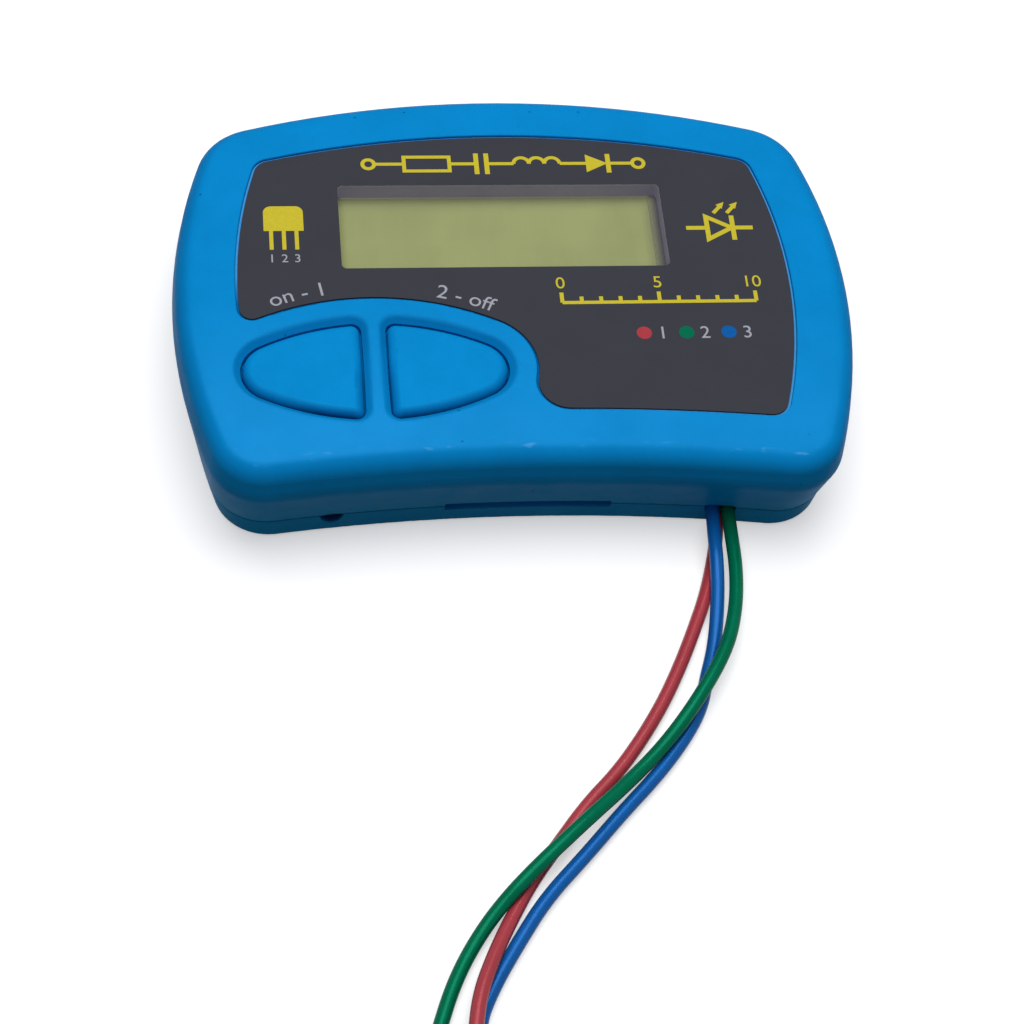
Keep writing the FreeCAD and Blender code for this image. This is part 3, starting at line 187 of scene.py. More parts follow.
def away_from(tree, value, middle):
    """How far a value lies from a middle, on either side."""
    apart = add_node(tree, "ShaderNodeMath", {0: value, 1: middle}, operation="SUBTRACT").outputs[0]
    return add_node(tree, "ShaderNodeMath", {0: apart}, operation="ABSOLUTE").outputs[0]


def surface_place(tree):
    """Where a point of a piece lies, and its distances along, across and above the table."""
    place = add_node(tree, "ShaderNodeTexCoord", {}).outputs["Object"]
    return place, *add_node(tree, "ShaderNodeSeparateXYZ", {"Vector": place}).outputs


def facing_up(tree):
    """How far a surface faces upwards: 1 where it is level and 0 where it is upright."""
    normal = add_node(tree, "ShaderNodeTexCoord", {}).outputs["Normal"]
    return add_node(tree, "ShaderNodeSeparateXYZ", {"Vector": normal}).outputs["Z"]


def blended(tree, factor, first, second):
    """Colour that goes from the first to the second as the factor goes from 0 to 1."""
    made = add_node(tree, "ShaderNodeMix", {"Factor": factor}, data_type="RGBA")
    for socket, value in ((made.inputs[6], first), (made.inputs[7], second)):
        if isinstance(value, bpy.types.NodeSocket):
            tree.links.new(value, socket)
        else:
            socket.default_value = value
    return made.outputs[2]


def scaled(tree, colour, strength):
    """A colour times a strength."""
    made = add_node(tree, "ShaderNodeVectorMath", {0: colour, "Scale": strength}, operation="SCALE")
    return made.outputs["Vector"]


def shaded(tree, factor, colour, low, high):
    """A colour made darker or lighter by a noise, from low to high times its strength."""
    return scaled(tree, colour[:3], between(tree, factor, low, high))


def bumped(tree, shader, height, depth_mm):
    """Relief of the given depth on a shader's normal."""
    made = add_node(tree, "ShaderNodeBump", {"Height": height, "Distance": depth_mm * MILLIMETRE})
    tree.links.new(made.outputs["Normal"], shader.inputs["Normal"])


def moulded_plastic(name, colour, gloss=(0.38, 0.46), grain_mm=0.16, depth_mm=0.003, specular=0.01):
    """Satin moulding: broad blotches of tint, uneven gloss, and the fine grain of an eroded mould."""
    material, tree, shader = new_material(name, IOR=1.5, Specular_IOR_Level=specular)
    tint = shaded(tree, noise(tree, 14, 6, 0.75), linear(*colour), 0.93, 1.07)
    tree.links.new(tint, shader.inputs["Base Color"])
    tree.links.new(between(tree, noise(tree, 3, 3), *gloss), shader.inputs["Roughness"])
    bumped(tree, shader, noise(tree, grain_mm, 1), depth_mm)
    return material, tree, shader, tint


def dress(material, *names):
    """Give CAD nodes a material in place of the plain one that they come with."""
    for name in names:
        nodes[name].data.materials.clear()
        nodes[name].data.materials.append(material)


def case_skin():
    """The case's moulding with its dust, and light and shade painted on it.

    The top is painted paler towards the front left as a pool of light, and the foot of the walls all round
    as light thrown up from the table. Pale nicks are painted along the front rim where its highlight falls,
    as glints. Painted shade darkens the turn of the rim, the button wells, the parting seam, the pry notch
    and the walls of the label's bed. A painted highlight shows pale on the bed's floor round the label,
    turning to painted shade near the wells. Dust lies all over.
    """
    material, tree, shader, tint = moulded_plastic("case_plastic", CASE_BLUE)
    place, along, across, height = surface_place(tree)
    upward = facing_up(tree)

    patchy = between(tree, noise(tree, 9, 3), *PATCHES)
    # Painted light: the top paler towards the front left, as under a pool of light.
    painted_light = product(tree, ramp(tree, across, 1, 0, LIT_DEPTH),
                      ramp(tree, along, *LIT_SHARES, LIT_WIDTH),
                      between(tree, upward, 0, 1, *LEVEL_FACES), patchy)
    # Painted light: the walls paler towards their foot, as if lit from the table.
    painted_bounce = product(tree, ramp(tree, height, BOUNCE_SHARE, 0, BOUNCE_HEIGHT), patchy)
    # Pale nicks, painted along the band where the rim's highlight falls, so that they stand in for glints
    # too.
    nicks_and_glints = product(tree, between(tree, noise(tree, 0.8, 2, 0.5, (3, 1, 1)), 0, NICK_GLINT_SHARE, *NICK_GLINT_SPREAD),
                    band(tree, upward, *NICK_GLINT_TURN), ramp(tree, across, 1, 0, NICK_GLINT_FRONT))

    # Painted shade: darker in the button wells, on the turn of the rim, along the parting seam, in the pry
    # notch and on the walls of the label's bed.
    in_reaches = add_node(tree, "ShaderNodeMapping", {
        "Vector": place, "Location": metres(*WELL_CENTRE), "Scale": metres(*WELL_REACH)},
        vector_type="TEXTURE")
    from_wells = add_node(tree, "ShaderNodeVectorMath", {0: in_reaches.outputs["Vector"]}, operation="LENGTH")
    from_wells = from_wells.outputs["Value"]
    in_wells = product(tree, band(tree, height, *(metres(*ends) for ends in WELL_LEVELS)),
                       ramp(tree, across, *WELL_SHARES, WELL_DEPTH),
                       between(tree, from_wells, 1, 0, *WELL_EDGE))
    on_rim = product(tree, band(tree, upward, *RIM_SLOPES), ramp(tree, along, *RIM_SHARES, RIM_WIDTH),
                     ramp(tree, height, 0, 1, RIM_LEVELS))
    in_seam = ramp(tree, away_from(tree, height, SEAM_HEIGHT * MILLIMETRE), SEAM_SHARE, 0, SEAM_REACH)
    from_notch = add_node(tree, "ShaderNodeVectorMath", {0: place, 1: metres(*NOTCH_PLACE)},
                          operation="DISTANCE")
    in_notch = ramp(tree, from_notch.outputs["Value"], NOTCH_SHARE, 0, NOTCH_REACH)
    from_bed = away_from(tree, height, BED_MIDDLE * MILLIMETRE)
    round_bed = product(tree, ramp(tree, from_bed, BED_SHARE, 0, BED_REACH),
                        between(tree, upward, 1, 0, *STEEP_FACES))
    painted_shade = joined(tree, in_wells, on_rim, in_seam, in_notch, round_bed)

    # Painted highlight: a pale line on the bed's floor in the gap round the label, which turns to painted
    # shade near the wells.
    from_floor = away_from(tree, height, BED_FLOOR * MILLIMETRE)
    painted_gap_light = product(tree, ramp(tree, from_floor, GAP_LIGHT_SHARE, 0, GAP_LIGHT_REACH),
                    between(tree, upward, 0, 1, *FLAT_FACES))
    shade_colour = linear(*SHADE_BLUE)
    gap_light = blended(tree, between(tree, from_wells, 0, 1, *GAP_SHADE_REACH), shade_colour, linear(*GAP_LIGHT_BLUE))
    dust = between(tree, noise(tree, 1.1, 0), 0, DUST_SHARE, *DUST_SPREAD)

    skin_colour = tint
    for share, colour in ((painted_light, linear(*LIT_BLUE)), (painted_bounce, linear(*BOUNCE_BLUE)),
                          (nicks_and_glints, linear(*NICK_GLINT_BLUE)), (painted_shade, shade_colour), (painted_gap_light, gap_light),
                          (dust, linear(*DUST_BLUE))):
        skin_colour = blended(tree, share, skin_colour, colour)
    tree.links.new(skin_colour, shader.inputs["Base Color"])
    return material


dress(case_skin(), "top_shell", "bottom_shell")

# Case screws: three zinc-plated self-tapping screws with a cross recess, driven up into the bosses of
# the upper half. Plating leaves a faint yellow cast and the driver leaves bright marks.

ZINC = (186, 184, 172)
STEEL = (170, 172, 175)


def plated_metal(name, colour, gloss=(0.22, 0.36), stretch=(1, 1, 1)):
    """Plated metal: cloudy tint, uneven gloss and hair-fine marks of drawing or handling."""
    material, tree, shader = new_material(name, Metallic=1.0)
    cloudy = shaded(tree, noise(tree, 2.5, 4, 0.6), linear(*colour), 0.88, 1.06)
    tree.links.new(cloudy, shader.inputs["Base Color"])
    tree.links.new(between(tree, noise(tree, 0.6, 3), *gloss), shader.inputs["Roughness"])
    bumped(tree, shader, noise(tree, 0.12, 2, 0.6, stretch), 0.004)
    return material


dress(plated_metal("screw_zinc", ZINC), "case_screws")

# Push-buttons: two half lenses in the case's blue, moulded apart and held under the roof by a rim.
# Fingers polish their crowns a little, so they are smoother than the case.

BUTTON_BLUE = (8, 141, 210)
FLANK_LEVELS = (18.9, 19.88)
FLANK_DEPTH = (-21.0, -17.0)
FAR_SHARE = 0.15
FLANK_WIDTH = (-22.0, -8.0)
FLANK_SHARES = (0.82, 0.5)
LEFT_TIP = (-36.0, -31.0)
TIP_SHARE = 0.6
WEB_REACH = (1.8, 3.6)
WEB_SHARE = 0.3


def button_skin():
    """The buttons' moulding with painted shade down its flanks.

    It deepens with the square root of the depth below the crown. It is thickest on the flanks towards the
    user, and thins towards the outer tips, the far flanks and the web between the buttons.
    """
    material, tree, shader, tint = moulded_plastic("button_plastic", BUTTON_BLUE, (0.34, 0.42), 0.2, 0.002)
    _, along, across, height = surface_place(tree)
    depth = ramp(tree, height, 1, 0, FLANK_LEVELS)
    root = add_node(tree, "ShaderNodeMath", {0: depth, 1: 0.5}, operation="POWER").outputs[0]
    from_web = away_from(tree, along, WELL_CENTRE[0] * MILLIMETRE)
    # Painted shade down the flanks, where the gap round each button lies in shade.
    painted_shade = product(tree, root, ramp(tree, across, 1, FAR_SHARE, FLANK_DEPTH),
                    ramp(tree, along, *FLANK_SHARES, FLANK_WIDTH), ramp(tree, along, TIP_SHARE, 1, LEFT_TIP),
                    ramp(tree, from_web, WEB_SHARE, 1, WEB_REACH))
    tree.links.new(blended(tree, painted_shade, tint, linear(*SHADE_BLUE)), shader.inputs["Base Color"])
    return material


dress(button_skin(), "test_button", "scroll_button")

# Face label: slate-coloured polyester film with a fine velvet finish, glued into its shallow bed.
# The display shows through an opening in it.

SLATE = (61, 62, 69)
LIT_FILM_EDGE = (190, 188, 204)
CUT_FACES = (0.3, 0.6)
LIT_EDGE_DEPTH = (-3.0, -1.5)


def label_skin():
    """Printed film: an even dark coat with a fine grain, and pale upright cut edges behind the front, the
    film's clear core painted lighter as if lit.
    """
    material, tree, shader = new_material("label_film", IOR=1.5, Specular_IOR_Level=0.03)
    coat = shaded(tree, noise(tree, 9, 3), linear(*SLATE), 0.97, 1.03)
    _, _, across, _ = surface_place(tree)
    # The upright cut edges behind the front are painted pale: the film's clear core, painted lighter as if
    # lit.
    cut = product(tree, between(tree, facing_up(tree), 1, 0, *CUT_FACES),
                  ramp(tree, across, 0, 1, LIT_EDGE_DEPTH))
    tree.links.new(blended(tree, cut, coat, linear(*LIT_FILM_EDGE)), shader.inputs["Base Color"])
    tree.links.new(between(tree, noise(tree, 1.5, 3), 0.48, 0.56), shader.inputs["Roughness"])
    bumped(tree, shader, noise(tree, 0.09, 2), 0.002)
    return material


dress(label_skin(), "face_label")

# Print on the label: opaque ink, screen printed in a thin even layer. There are yellow standard symbols and
# a plain scale, grey switch words and numbers, and three dots in the colours of the leads.

INK_YELLOW = (208, 192, 54)
INK_GREY = (168, 170, 179)
INK_LAYER = 0.02
INK_STEP = 0.001
INK_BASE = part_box("face_label")[1].z / MILLIMETRE - INK_LAYER / 2
LINE = 0.6
HEAVY_LINE = 0.75
SYMBOL_ROW = 19.7
PACKAGE_PLACE = (-34.4, 6.6)
LEG_STEPS = (-1.9, 0, 1.9)
LEG_NUMBERS = (0.6, 1.5)
DIODE_PLACE = (32.2, 6.6)
SCALE_START = (6.5, -7.6)
SCALE_STEP = 2.95
LEGENDS = (("on - 1", 105.0), ("2 - off", 70.8))
LEGEND_CENTRE = (-21.95, -47.05)
LEGEND_RADIUS = 41.9
LEGEND_HEIGHT = 2.45
LEAD_COLOURS = {"red": (176, 62, 71), "green": (0, 110, 77), "blue": (15, 94, 168)}
KEY_DOT_START = (18.2, -13.4)
KEY_DOT_STEP = 6.4
KEY_DOT_RADIUS = 1.15
KEY_NUMBER_STEP = (2.8, -1.1)
KEY_NUMBER_HEIGHT = 2.2


def skin(rings, closed=False):
    """Closed surface over rings of points that run anticlockwise about the path.

    Neighbouring rings are joined by quads. The first and the last ring are capped, or joined to each
    other where the path is closed.
    """
    index = np.arange(rings.shape[0] * rings.shape[1]).reshape(rings.shape[:2])
    first = index if closed else index[:-1]
    second = np.roll(index, -1, axis=0) if closed else index[1:]
    quads = np.stack([first, np.roll(first, -1, 1), np.roll(second, -1, 1), second], axis=-1).reshape(-1, 4)
    faces = quads.tolist()
    if not closed:
        faces += [index[0, ::-1].tolist(), index[-1].tolist()]
    return rings.reshape(-1, 3), faces


def at_height(points, height):
    return np.column_stack([points, np.full(len(points), height)])


def plate(outline):
    """Patch of ink: an anticlockwise outline carried straight up through the layer."""
    outline = np.asarray(outline, float)
    return skin(np.stack([at_height(outline, INK_BASE), at_height(outline, INK_BASE + INK_LAYER)]))


def ribbon(points, width=LINE, closed=False):
    """Line of ink: a flat rectangle carried along a path.

    Its edges lie half a width to each side, along the sum of the two runs' normals divided by one plus
    their scalar product, which keeps the width even round a corner.
    """
    path = np.asarray(points, float)
    runs = np.roll(path, -1, axis=0) - path if closed else np.diff(path, axis=0)
    runs = runs / np.linalg.norm(runs, axis=1, keepdims=True)
    normals = np.column_stack([-runs[:, 1], runs[:, 0]])
    before = np.roll(normals, 1, axis=0) if closed else np.vstack([normals[:1], normals])
    after = normals if closed else np.vstack([normals, normals[-1:]])
    aside = (before + after) / (1 + (before * after).sum(1, keepdims=True)) * width / 2
    low, high = INK_BASE, INK_BASE + INK_LAYER
    left, right = path + aside, path - aside
    return skin(np.stack([at_height(right, low), at_height(left, low), at_height(left, high),
                          at_height(right, high)], axis=1), closed)


def arc(x, y, radius, start, end, count=24):
    """Points on a circle between two angles in degrees."""
    turn = np.radians(np.linspace(start, end, count))
    return np.column_stack([x + radius * np.cos(turn), y + radius * np.sin(turn)])


def ring(x, y, radius):
    return arc(x, y, radius, 0, 345)


def lettering(words, height):
    """Words as a layer of ink on a baseline through the origin, the tallest letter of the given height."""
    curve = bpy.data.curves.new("lettering", "FONT")
    curve.body = words
    curve.extrude = INK_LAYER
    text = bpy.data.objects.new("lettering", curve)
    scene.collection.objects.link(text)
    bpy.context.view_layer.update()
    mesh = bpy.data.meshes.new_from_object(text.evaluated_get(bpy.context.evaluated_depsgraph_get()))
    bpy.data.objects.remove(text)
    shape = bmesh.new()
    shape.from_mesh(mesh)
    bmesh.ops.remove_doubles(shape, verts=shape.verts, dist=1e-4)
    shape.to_mesh(mesh)
    shape.free()
    points = np.empty(len(mesh.vertices) * 3)
    mesh.vertices.foreach_get("co", points)
    points = points.reshape(-1, 3)
    flat = points[:, :2] * height / points[:, 1].max()
    layer = np.where(points[:, 2] > 0, INK_BASE + INK_LAYER, INK_BASE)
    return np.column_stack([flat, layer]), [list(face.vertices) for face in mesh.polygons]


def centred(solid, x, y):
    """Words moved so that the middle of their baseline is at a place."""
    points, faces = solid
    middle = (points[:, 0].min() + points[:, 0].max()) / 2
    return points + [x - middle, y, 0], faces


def round_arc(solid, x, y, radius, angle):
    """Words bent round a centre: the distance along them becomes an angle and the height a radius."""
    points, faces = solid
    middle = (points[:, 0].min() + points[:, 0].max()) / 2
    turn = math.radians(angle) - (points[:, 0] - middle) / radius
    reach = radius + points[:, 1]
    return np.column_stack([x + reach * np.cos(turn), y + reach * np.sin(turn), points[:, 2]]), faces


def overprinted(solids):
    """Strokes of one ink, each a hair thicker than the last, so that no two share a face at a crossing."""
    layers = []
    for count, (points, faces) in enumerate(solids):
        top = points[:, 2] > INK_BASE + INK_LAYER / 2
        layers.append((points + np.outer(top, (0, 0, INK_STEP * count)), faces))
    return layers


def add_piece(name, solids, material, body, smooth=False):
    """One mesh of several solids given in millimetres, riding on a body."""
    starts = np.cumsum([0] + [len(points) for points, _ in solids[:-1]])
    points = np.vstack([points for points, _ in solids]) * MILLIMETRE
    faces = [[int(start) + corner for corner in face]
             for start, (_, own) in zip(starts, solids) for face in own]
    mesh = bpy.data.meshes.new(name)
    mesh.from_pydata(points.tolist(), [], faces)
    mesh.polygons.foreach_set("use_smooth", np.full(len(faces), smooth))
    mesh.materials.append(material)
    piece = bpy.data.objects.new(name, mesh)
    scene.collection.objects.link(piece)
    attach(piece, body)
    return piece


def ink(name, colour):
    """Screen ink: a little uneven where the mesh of the screen let more or less through."""
    material, tree, shader = new_material(name, IOR=1.5, Specular_IOR_Level=0.03)
    coat = shaded(tree, noise(tree, 0.5, 3), linear(*colour), 0.94, 1.03)
    tree.links.new(coat, shader.inputs["Base Color"])
    tree.links.new(between(tree, noise(tree, 0.8, 2), 0.42, 0.52), shader.inputs["Roughness"])
    bumped(tree, shader, noise(tree, 0.12, 1), 0.002)
    return material


def circuit_row(y):
    """Terminals, resistor, capacitor, coil and diode in one line, as circuit diagrams draw them."""
    humps = [ribbon(arc(2.7 + 2.4 * turn, y, 1.2, 180, 0, 13)) for turn in range(3)]
    return humps + [
        ribbon(ring(-21, y, 0.9), LINE, True), ribbon([(-20.1, y), (-15.5, y)]),
        ribbon([(-15.5, y - 1.4), (-8.5, y - 1.4), (-8.5, y + 1.4), (-15.5, y + 1.4)], LINE, True),
        ribbon([(-8.5, y), (-4.3, y)]), ribbon([(-4.3, y - 2.1), (-4.3, y + 2.1)], HEAVY_LINE),
        ribbon([(-2.7, y - 2.1), (-2.7, y + 2.1)], HEAVY_LINE), ribbon([(-2.7, y), (1.5, y)]),
        ribbon([(8.7, y), (12.8, y)]), plate([(12.8, y - 1.8), (16.2, y), (12.8, y + 1.8)]),
        ribbon([(16.3, y - 1.9), (16.3, y + 1.9)], HEAVY_LINE), ribbon([(16.3, y), (20.1, y)]),
        ribbon(ring(21, y, 0.9), LINE, True)]


def three_leg_package(x, y):
    """Outline of a small component with three legs, seen from its flat side."""
    right, left = arc(x + 1.8, y + 3.6, 1.2, 0, 90, 9), arc(x - 1.8, y + 3.6, 1.2, 90, 180, 9)
    legs = [ribbon([(x + step, y), (x + step, y - 3.6)]) for step in LEG_STEPS]
    return [plate(np.vstack([[(x + 3, y)], right, left, [(x - 3, y)]])), *legs]


def light_diode(x, y):
    """Standard symbol of a light-emitting diode, with two arrows that leave it."""
    strokes = [ribbon([(x - 1.9, y - 2.2), (x + 1.9, y), (x - 1.9, y + 2.2)], HEAVY_LINE, True),
               ribbon([(x + 2.1, y - 2.4), (x + 2.1, y + 2.4)], HEAVY_LINE),
               ribbon([(x - 5.2, y), (x - 1.9, y)], HEAVY_LINE),
               ribbon([(x + 2.1, y), (x + 5.2, y)], HEAVY_LINE)]
    for start in (-0.6, 1.5):
        foot = np.array([x + start, y + 2.9])
        tip = foot + (1.9, 2.2)
        strokes.append(ribbon([foot, tip - (0.5, 0.6)]))
        strokes.append(plate([tip, tip + (-1.35, -0.55), tip + (-0.45, -1.35)]))
    return strokes


def plain_scale(x, y, step):
    """Straight scale of ten steps with a longer mark at every fifth."""
    marks = [ribbon([(x, y), (x + 10 * step, y)])]
    for count in range(11):
        height = 1.9 if count % 5 == 0 else 1.1
        marks.append(ribbon([(x + count * step, y), (x + count * step, y + height)]))
    marks += [centred(lettering(str(count), 2.1), x + count * step, y + 2.7) for count in (0, 5, 10)]
    return marks


symbols = (circuit_row(SYMBOL_ROW) + three_leg_package(*PACKAGE_PLACE) + light_diode(*DIODE_PLACE)
           + plain_scale(*SCALE_START, SCALE_STEP))
add_piece("yellow_print", overprinted(symbols), ink("yellow_ink", INK_YELLOW), "case")

legends = [round_arc(lettering(words, LEGEND_HEIGHT), *LEGEND_CENTRE, LEGEND_RADIUS, angle)
           for words, angle in LEGENDS]
leg_baseline, leg_height = LEG_NUMBERS
legends += [centred(lettering(str(count), leg_height), PACKAGE_PLACE[0] + step, leg_baseline)
            for count, step in enumerate(LEG_STEPS, 1)]
for count, (name, colour) in enumerate(LEAD_COLOURS.items()):
    x, y = KEY_DOT_START[0] + KEY_DOT_STEP * count, KEY_DOT_START[1]
    add_piece(f"{name}_key_dot", [plate(ring(x, y, KEY_DOT_RADIUS))], ink(f"{name}_ink", colour), "case")
    number = lettering(str(count + 1), KEY_NUMBER_HEIGHT)
    legends.append(centred(number, x + KEY_NUMBER_STEP[0], y + KEY_NUMBER_STEP[1]))
add_piece("grey_print", legends, ink("grey_ink", INK_GREY), "case")

# Display: a clear pane in the label, a grey frame behind it, and a reflective character display in a
# painted steel bezel. The glass shows its yellow-green polariser with faint rows of unlit dots, and rubber
# strips connect it to its own board.

DISPLAY_GREEN = (171, 177, 120)
PANE_TINT = (20, 24, 22)
FRAME_GREY = (178, 171, 204)
BEZEL_GREY = (102, 100, 104)
LIT_CUT_EDGE = (222, 222, 204)
RUBBER_PINK = (176, 120, 112)
DOT_PITCH = 0.55
DOT_GAP = 0.05
CELL_PITCH = (3.3, 6.6)
CELL_GAP = 0.28
UNLIT_SHARE = 0.975
BEZEL_MARGIN = 1.3
EDGE_FADE = 1.4
EDGE_SHADE = (134, 136, 108)
RIGHT_SHADE = 0.7
FAR_SHADE = 0.6

pane, tree, shader = new_material("clear_pane", Base_Color=linear(*PANE_TINT), IOR=1.49)
tree.links.new(between(tree, noise(tree, 8, 3), 0.03, 0.07), shader.inputs["Alpha"])
tree.links.new(between(tree, noise(tree, 2, 3), 0.05, 0.12), shader.inputs["Roughness"])
dress(pane, "lcd_window")
dress(moulded_plastic("frame_plastic", FRAME_GREY, (0.4, 0.5))[0], "lcd_surround")


def bezel_paint():
    """Grey paint on pressed steel, with green-grey shade painted next to the glass and the upright cut edges
    painted bright as if lit.
    """
    material, tree, shader, tint = moulded_plastic("bezel_paint", BEZEL_GREY, (0.3, 0.4), 0.3, 0.003)
    _, along, _, _ = surface_place(tree)
    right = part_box("lcd_window")[1].x
    # Painted shade, green-grey, on the bezel's margin next to the glass.
    near_glass = between(tree, along, 1, 0, right - BEZEL_MARGIN * MILLIMETRE, right)
    paint = blended(tree, near_glass, tint, linear(*EDGE_SHADE))
    # Painted highlight: the bezel's upright cut edges painted bright, as if lit.
    cut = between(tree, facing_up(tree), 1, 0, *CUT_FACES)
    tree.links.new(blended(tree, cut, paint, linear(*LIT_CUT_EDGE)), shader.inputs["Base Color"])
    return material


dress(bezel_paint(), "lcd_bezel")


def tiles(tree, width, height, gap):
    """1 on a grid of tiles of the given pitch, and 0 in the gaps between them."""
    place = add_node(tree, "ShaderNodeTexCoord", {}).outputs["Object"]
    made = add_node(tree, "ShaderNodeTexBrick", {
        "Vector": place, "Color1": (1, 1, 1, 1), "Color2": (1, 1, 1, 1), "Mortar": (0, 0, 0, 1),
        "Scale": 1 / MILLIMETRE, "Mortar Size": gap, "Brick Width": width, "Row Height": height}, offset=0.0)
    return made.outputs["Color"]


def display_face():
    """Polariser with rows of unlit dots, in the bezel's shade along its right and far edges."""
    material, tree, shader = new_material("display_glass", IOR=1.5, Specular_IOR_Level=0.03)
    even = shaded(tree, noise(tree, 20, 2), linear(*DISPLAY_GREEN), 0.97, 1.03)
    dots = product(tree, tiles(tree, DOT_PITCH, DOT_PITCH, DOT_GAP), tiles(tree, *CELL_PITCH, CELL_GAP))
    unlit = scaled(tree, even, between(tree, dots, 1, UNLIT_SHARE, 0, 1))
    _, along, across, _ = surface_place(tree)
    right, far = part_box("lcd_window")[1].xy
    right -= BEZEL_MARGIN * MILLIMETRE
    fade = EDGE_FADE * MILLIMETRE
    edge = joined(tree, between(tree, along, 0, RIGHT_SHADE, right - fade, right),
                  between(tree, across, 0, FAR_SHADE, far - 2 * fade, far))
    tree.links.new(blended(tree, edge, unlit, linear(*EDGE_SHADE)), shader.inputs["Base Color"])
    tree.links.new(between(tree, noise(tree, 4, 2), 0.28, 0.36), shader.inputs["Roughness"])
    return material


dress(display_face(), "lcd_glass")
dress(moulded_plastic("contact_rubber", RUBBER_PINK, (0.6, 0.7), 0.3, 0.01)[0], "lcd_connectors")

# Boards and components: glass-fibre laminate under green solder mask, with the controller, crystal,
# capacitors, resistors, transistors, pin header and switches soldered to the main board.

MASK_GREEN = (14, 84, 50)
TRACK_GREEN = (34, 118, 68)
TRACK_GRIDS = ((2.54, 5.08, 0.35), (7.62, 1.27, 0.2))
EPOXY_BLACK = (34, 34, 36)
PIN_TIN = (190, 190, 186)
PIN_REACH = 1.4
SHARP_EDGE = 0.05
PLUNGER_CREAM = (206, 200, 186)
ALUMINIUM = (196, 198, 202)


def board_laminate():
    """Solder mask over copper: tracks in a loose grid show paler through the mask."""
    material, tree, shader = new_material("board_laminate", IOR=1.5, Specular_IOR_Level=0.3)
    tracks = product(tree, *(tiles(tree, *grid) for grid in TRACK_GRIDS))
    mask = blended(tree, tracks, linear(*TRACK_GREEN), linear(*MASK_GREEN))
    cloudy = scaled(tree, mask, between(tree, noise(tree, 6, 3), 0.9, 1.08))
    tree.links.new(cloudy, shader.inputs["Base Color"])
    tree.links.new(between(tree, noise(tree, 1, 3), 0.25, 0.4), shader.inputs["Roughness"])
    bumped(tree, shader, tracks, 0.03)
    return material


def pinned_package():
    """Black epoxy with tinned pins: beyond the package's flanks the surface is metal."""
    material, tree, shader = new_material("pinned_package", IOR=1.5)
    low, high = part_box("microcontroller")
    _, _, across, _ = surface_place(tree)
    flank = (high.y - low.y) / 2 - PIN_REACH * MILLIMETRE
    aside = away_from(tree, across, (low.y + high.y) / 2)
    pins = between(tree, aside, 0, 1, flank, flank + SHARP_EDGE * MILLIMETRE)
    epoxy = shaded(tree, noise(tree, 0.5, 4), linear(*EPOXY_BLACK), 0.85, 1.15)
    tree.links.new(blended(tree, pins, epoxy, linear(*PIN_TIN)), shader.inputs["Base Color"])
    tree.links.new(pins, shader.inputs["Metallic"])
    tree.links.new(between(tree, noise(tree, 0.4, 3), 0.4, 0.6), shader.inputs["Roughness"])
    bumped(tree, shader, noise(tree, 0.15, 2), 0.01)
    return material


dress(board_laminate(), "main_board", "lcd_board")
dress(pinned_package(), "microcontroller")
dress(moulded_plastic("black_moulding", EPOXY_BLACK, (0.45, 0.6), 0.2, 0.01, 0.4)[0],
      "transistors", "resistors", "lcd_header", "test_switch_body", "scroll_switch_body", "battery_cradle",
      "lead_clamp")
dress(moulded_plastic("plunger_plastic", PLUNGER_CREAM, (0.4, 0.5), 0.2, 0.004, 0.4)[0],
      "test_switch_plunger", "scroll_switch_plunger")
dress(plated_metal("crystal_can", STEEL, (0.2, 0.3), (8, 1, 1)), "crystal")
dress(plated_metal("capacitor_aluminium", ALUMINIUM, (0.3, 0.42)), "capacitors")

# Battery: a small 12 V cell in a printed sleeve. It lies in a cradle, between two bent steel contacts
# that press on its ends.

SLEEVE_GREY = (70, 82, 92)
SLEEVE_PALE = (205, 208, 210)
BAND_REACH = 7.0
CAP_REACH = 1.15


def battery_sleeve():
    """Shrunk sleeve with a pale band at the positive end, and the bare steel cap beyond it."""
    material, tree, shader = new_material("battery_sleeve", IOR=1.5)
    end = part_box("battery")[1].x
    _, along, _, _ = surface_place(tree)
    pale, cap = (between(tree, along, 0, 1, end - reach * MILLIMETRE, end - (reach - SHARP_EDGE) * MILLIMETRE)
                 for reach in (BAND_REACH, CAP_REACH))
    grey_sleeve = shaded(tree, noise(tree, 5, 3), linear(*SLEEVE_GREY), 0.92, 1.06)
    sleeve = blended(tree, pale, grey_sleeve, linear(*SLEEVE_PALE))
    tree.links.new(blended(tree, cap, sleeve, linear(*STEEL)), shader.inputs["Base Color"])
    tree.links.new(cap, shader.inputs["Metallic"])
    tree.links.new(between(tree, noise(tree, 2, 3), 0.25, 0.38), shader.inputs["Roughness"])
    bumped(tree, shader, noise(tree, 1.2, 2), 0.01)
    return material


dress(battery_sleeve(), "battery")
dress(plated_metal("contact_steel", STEEL, (0.25, 0.35), (1, 8, 1)), "battery_positive_contact",
      "battery_negative_contact")

# Leads: three flexible wires in coloured PVC sleeves. They are gripped by the clamp, leave together
# through the front wall, cross each other on the table and end in the caps of their clips.

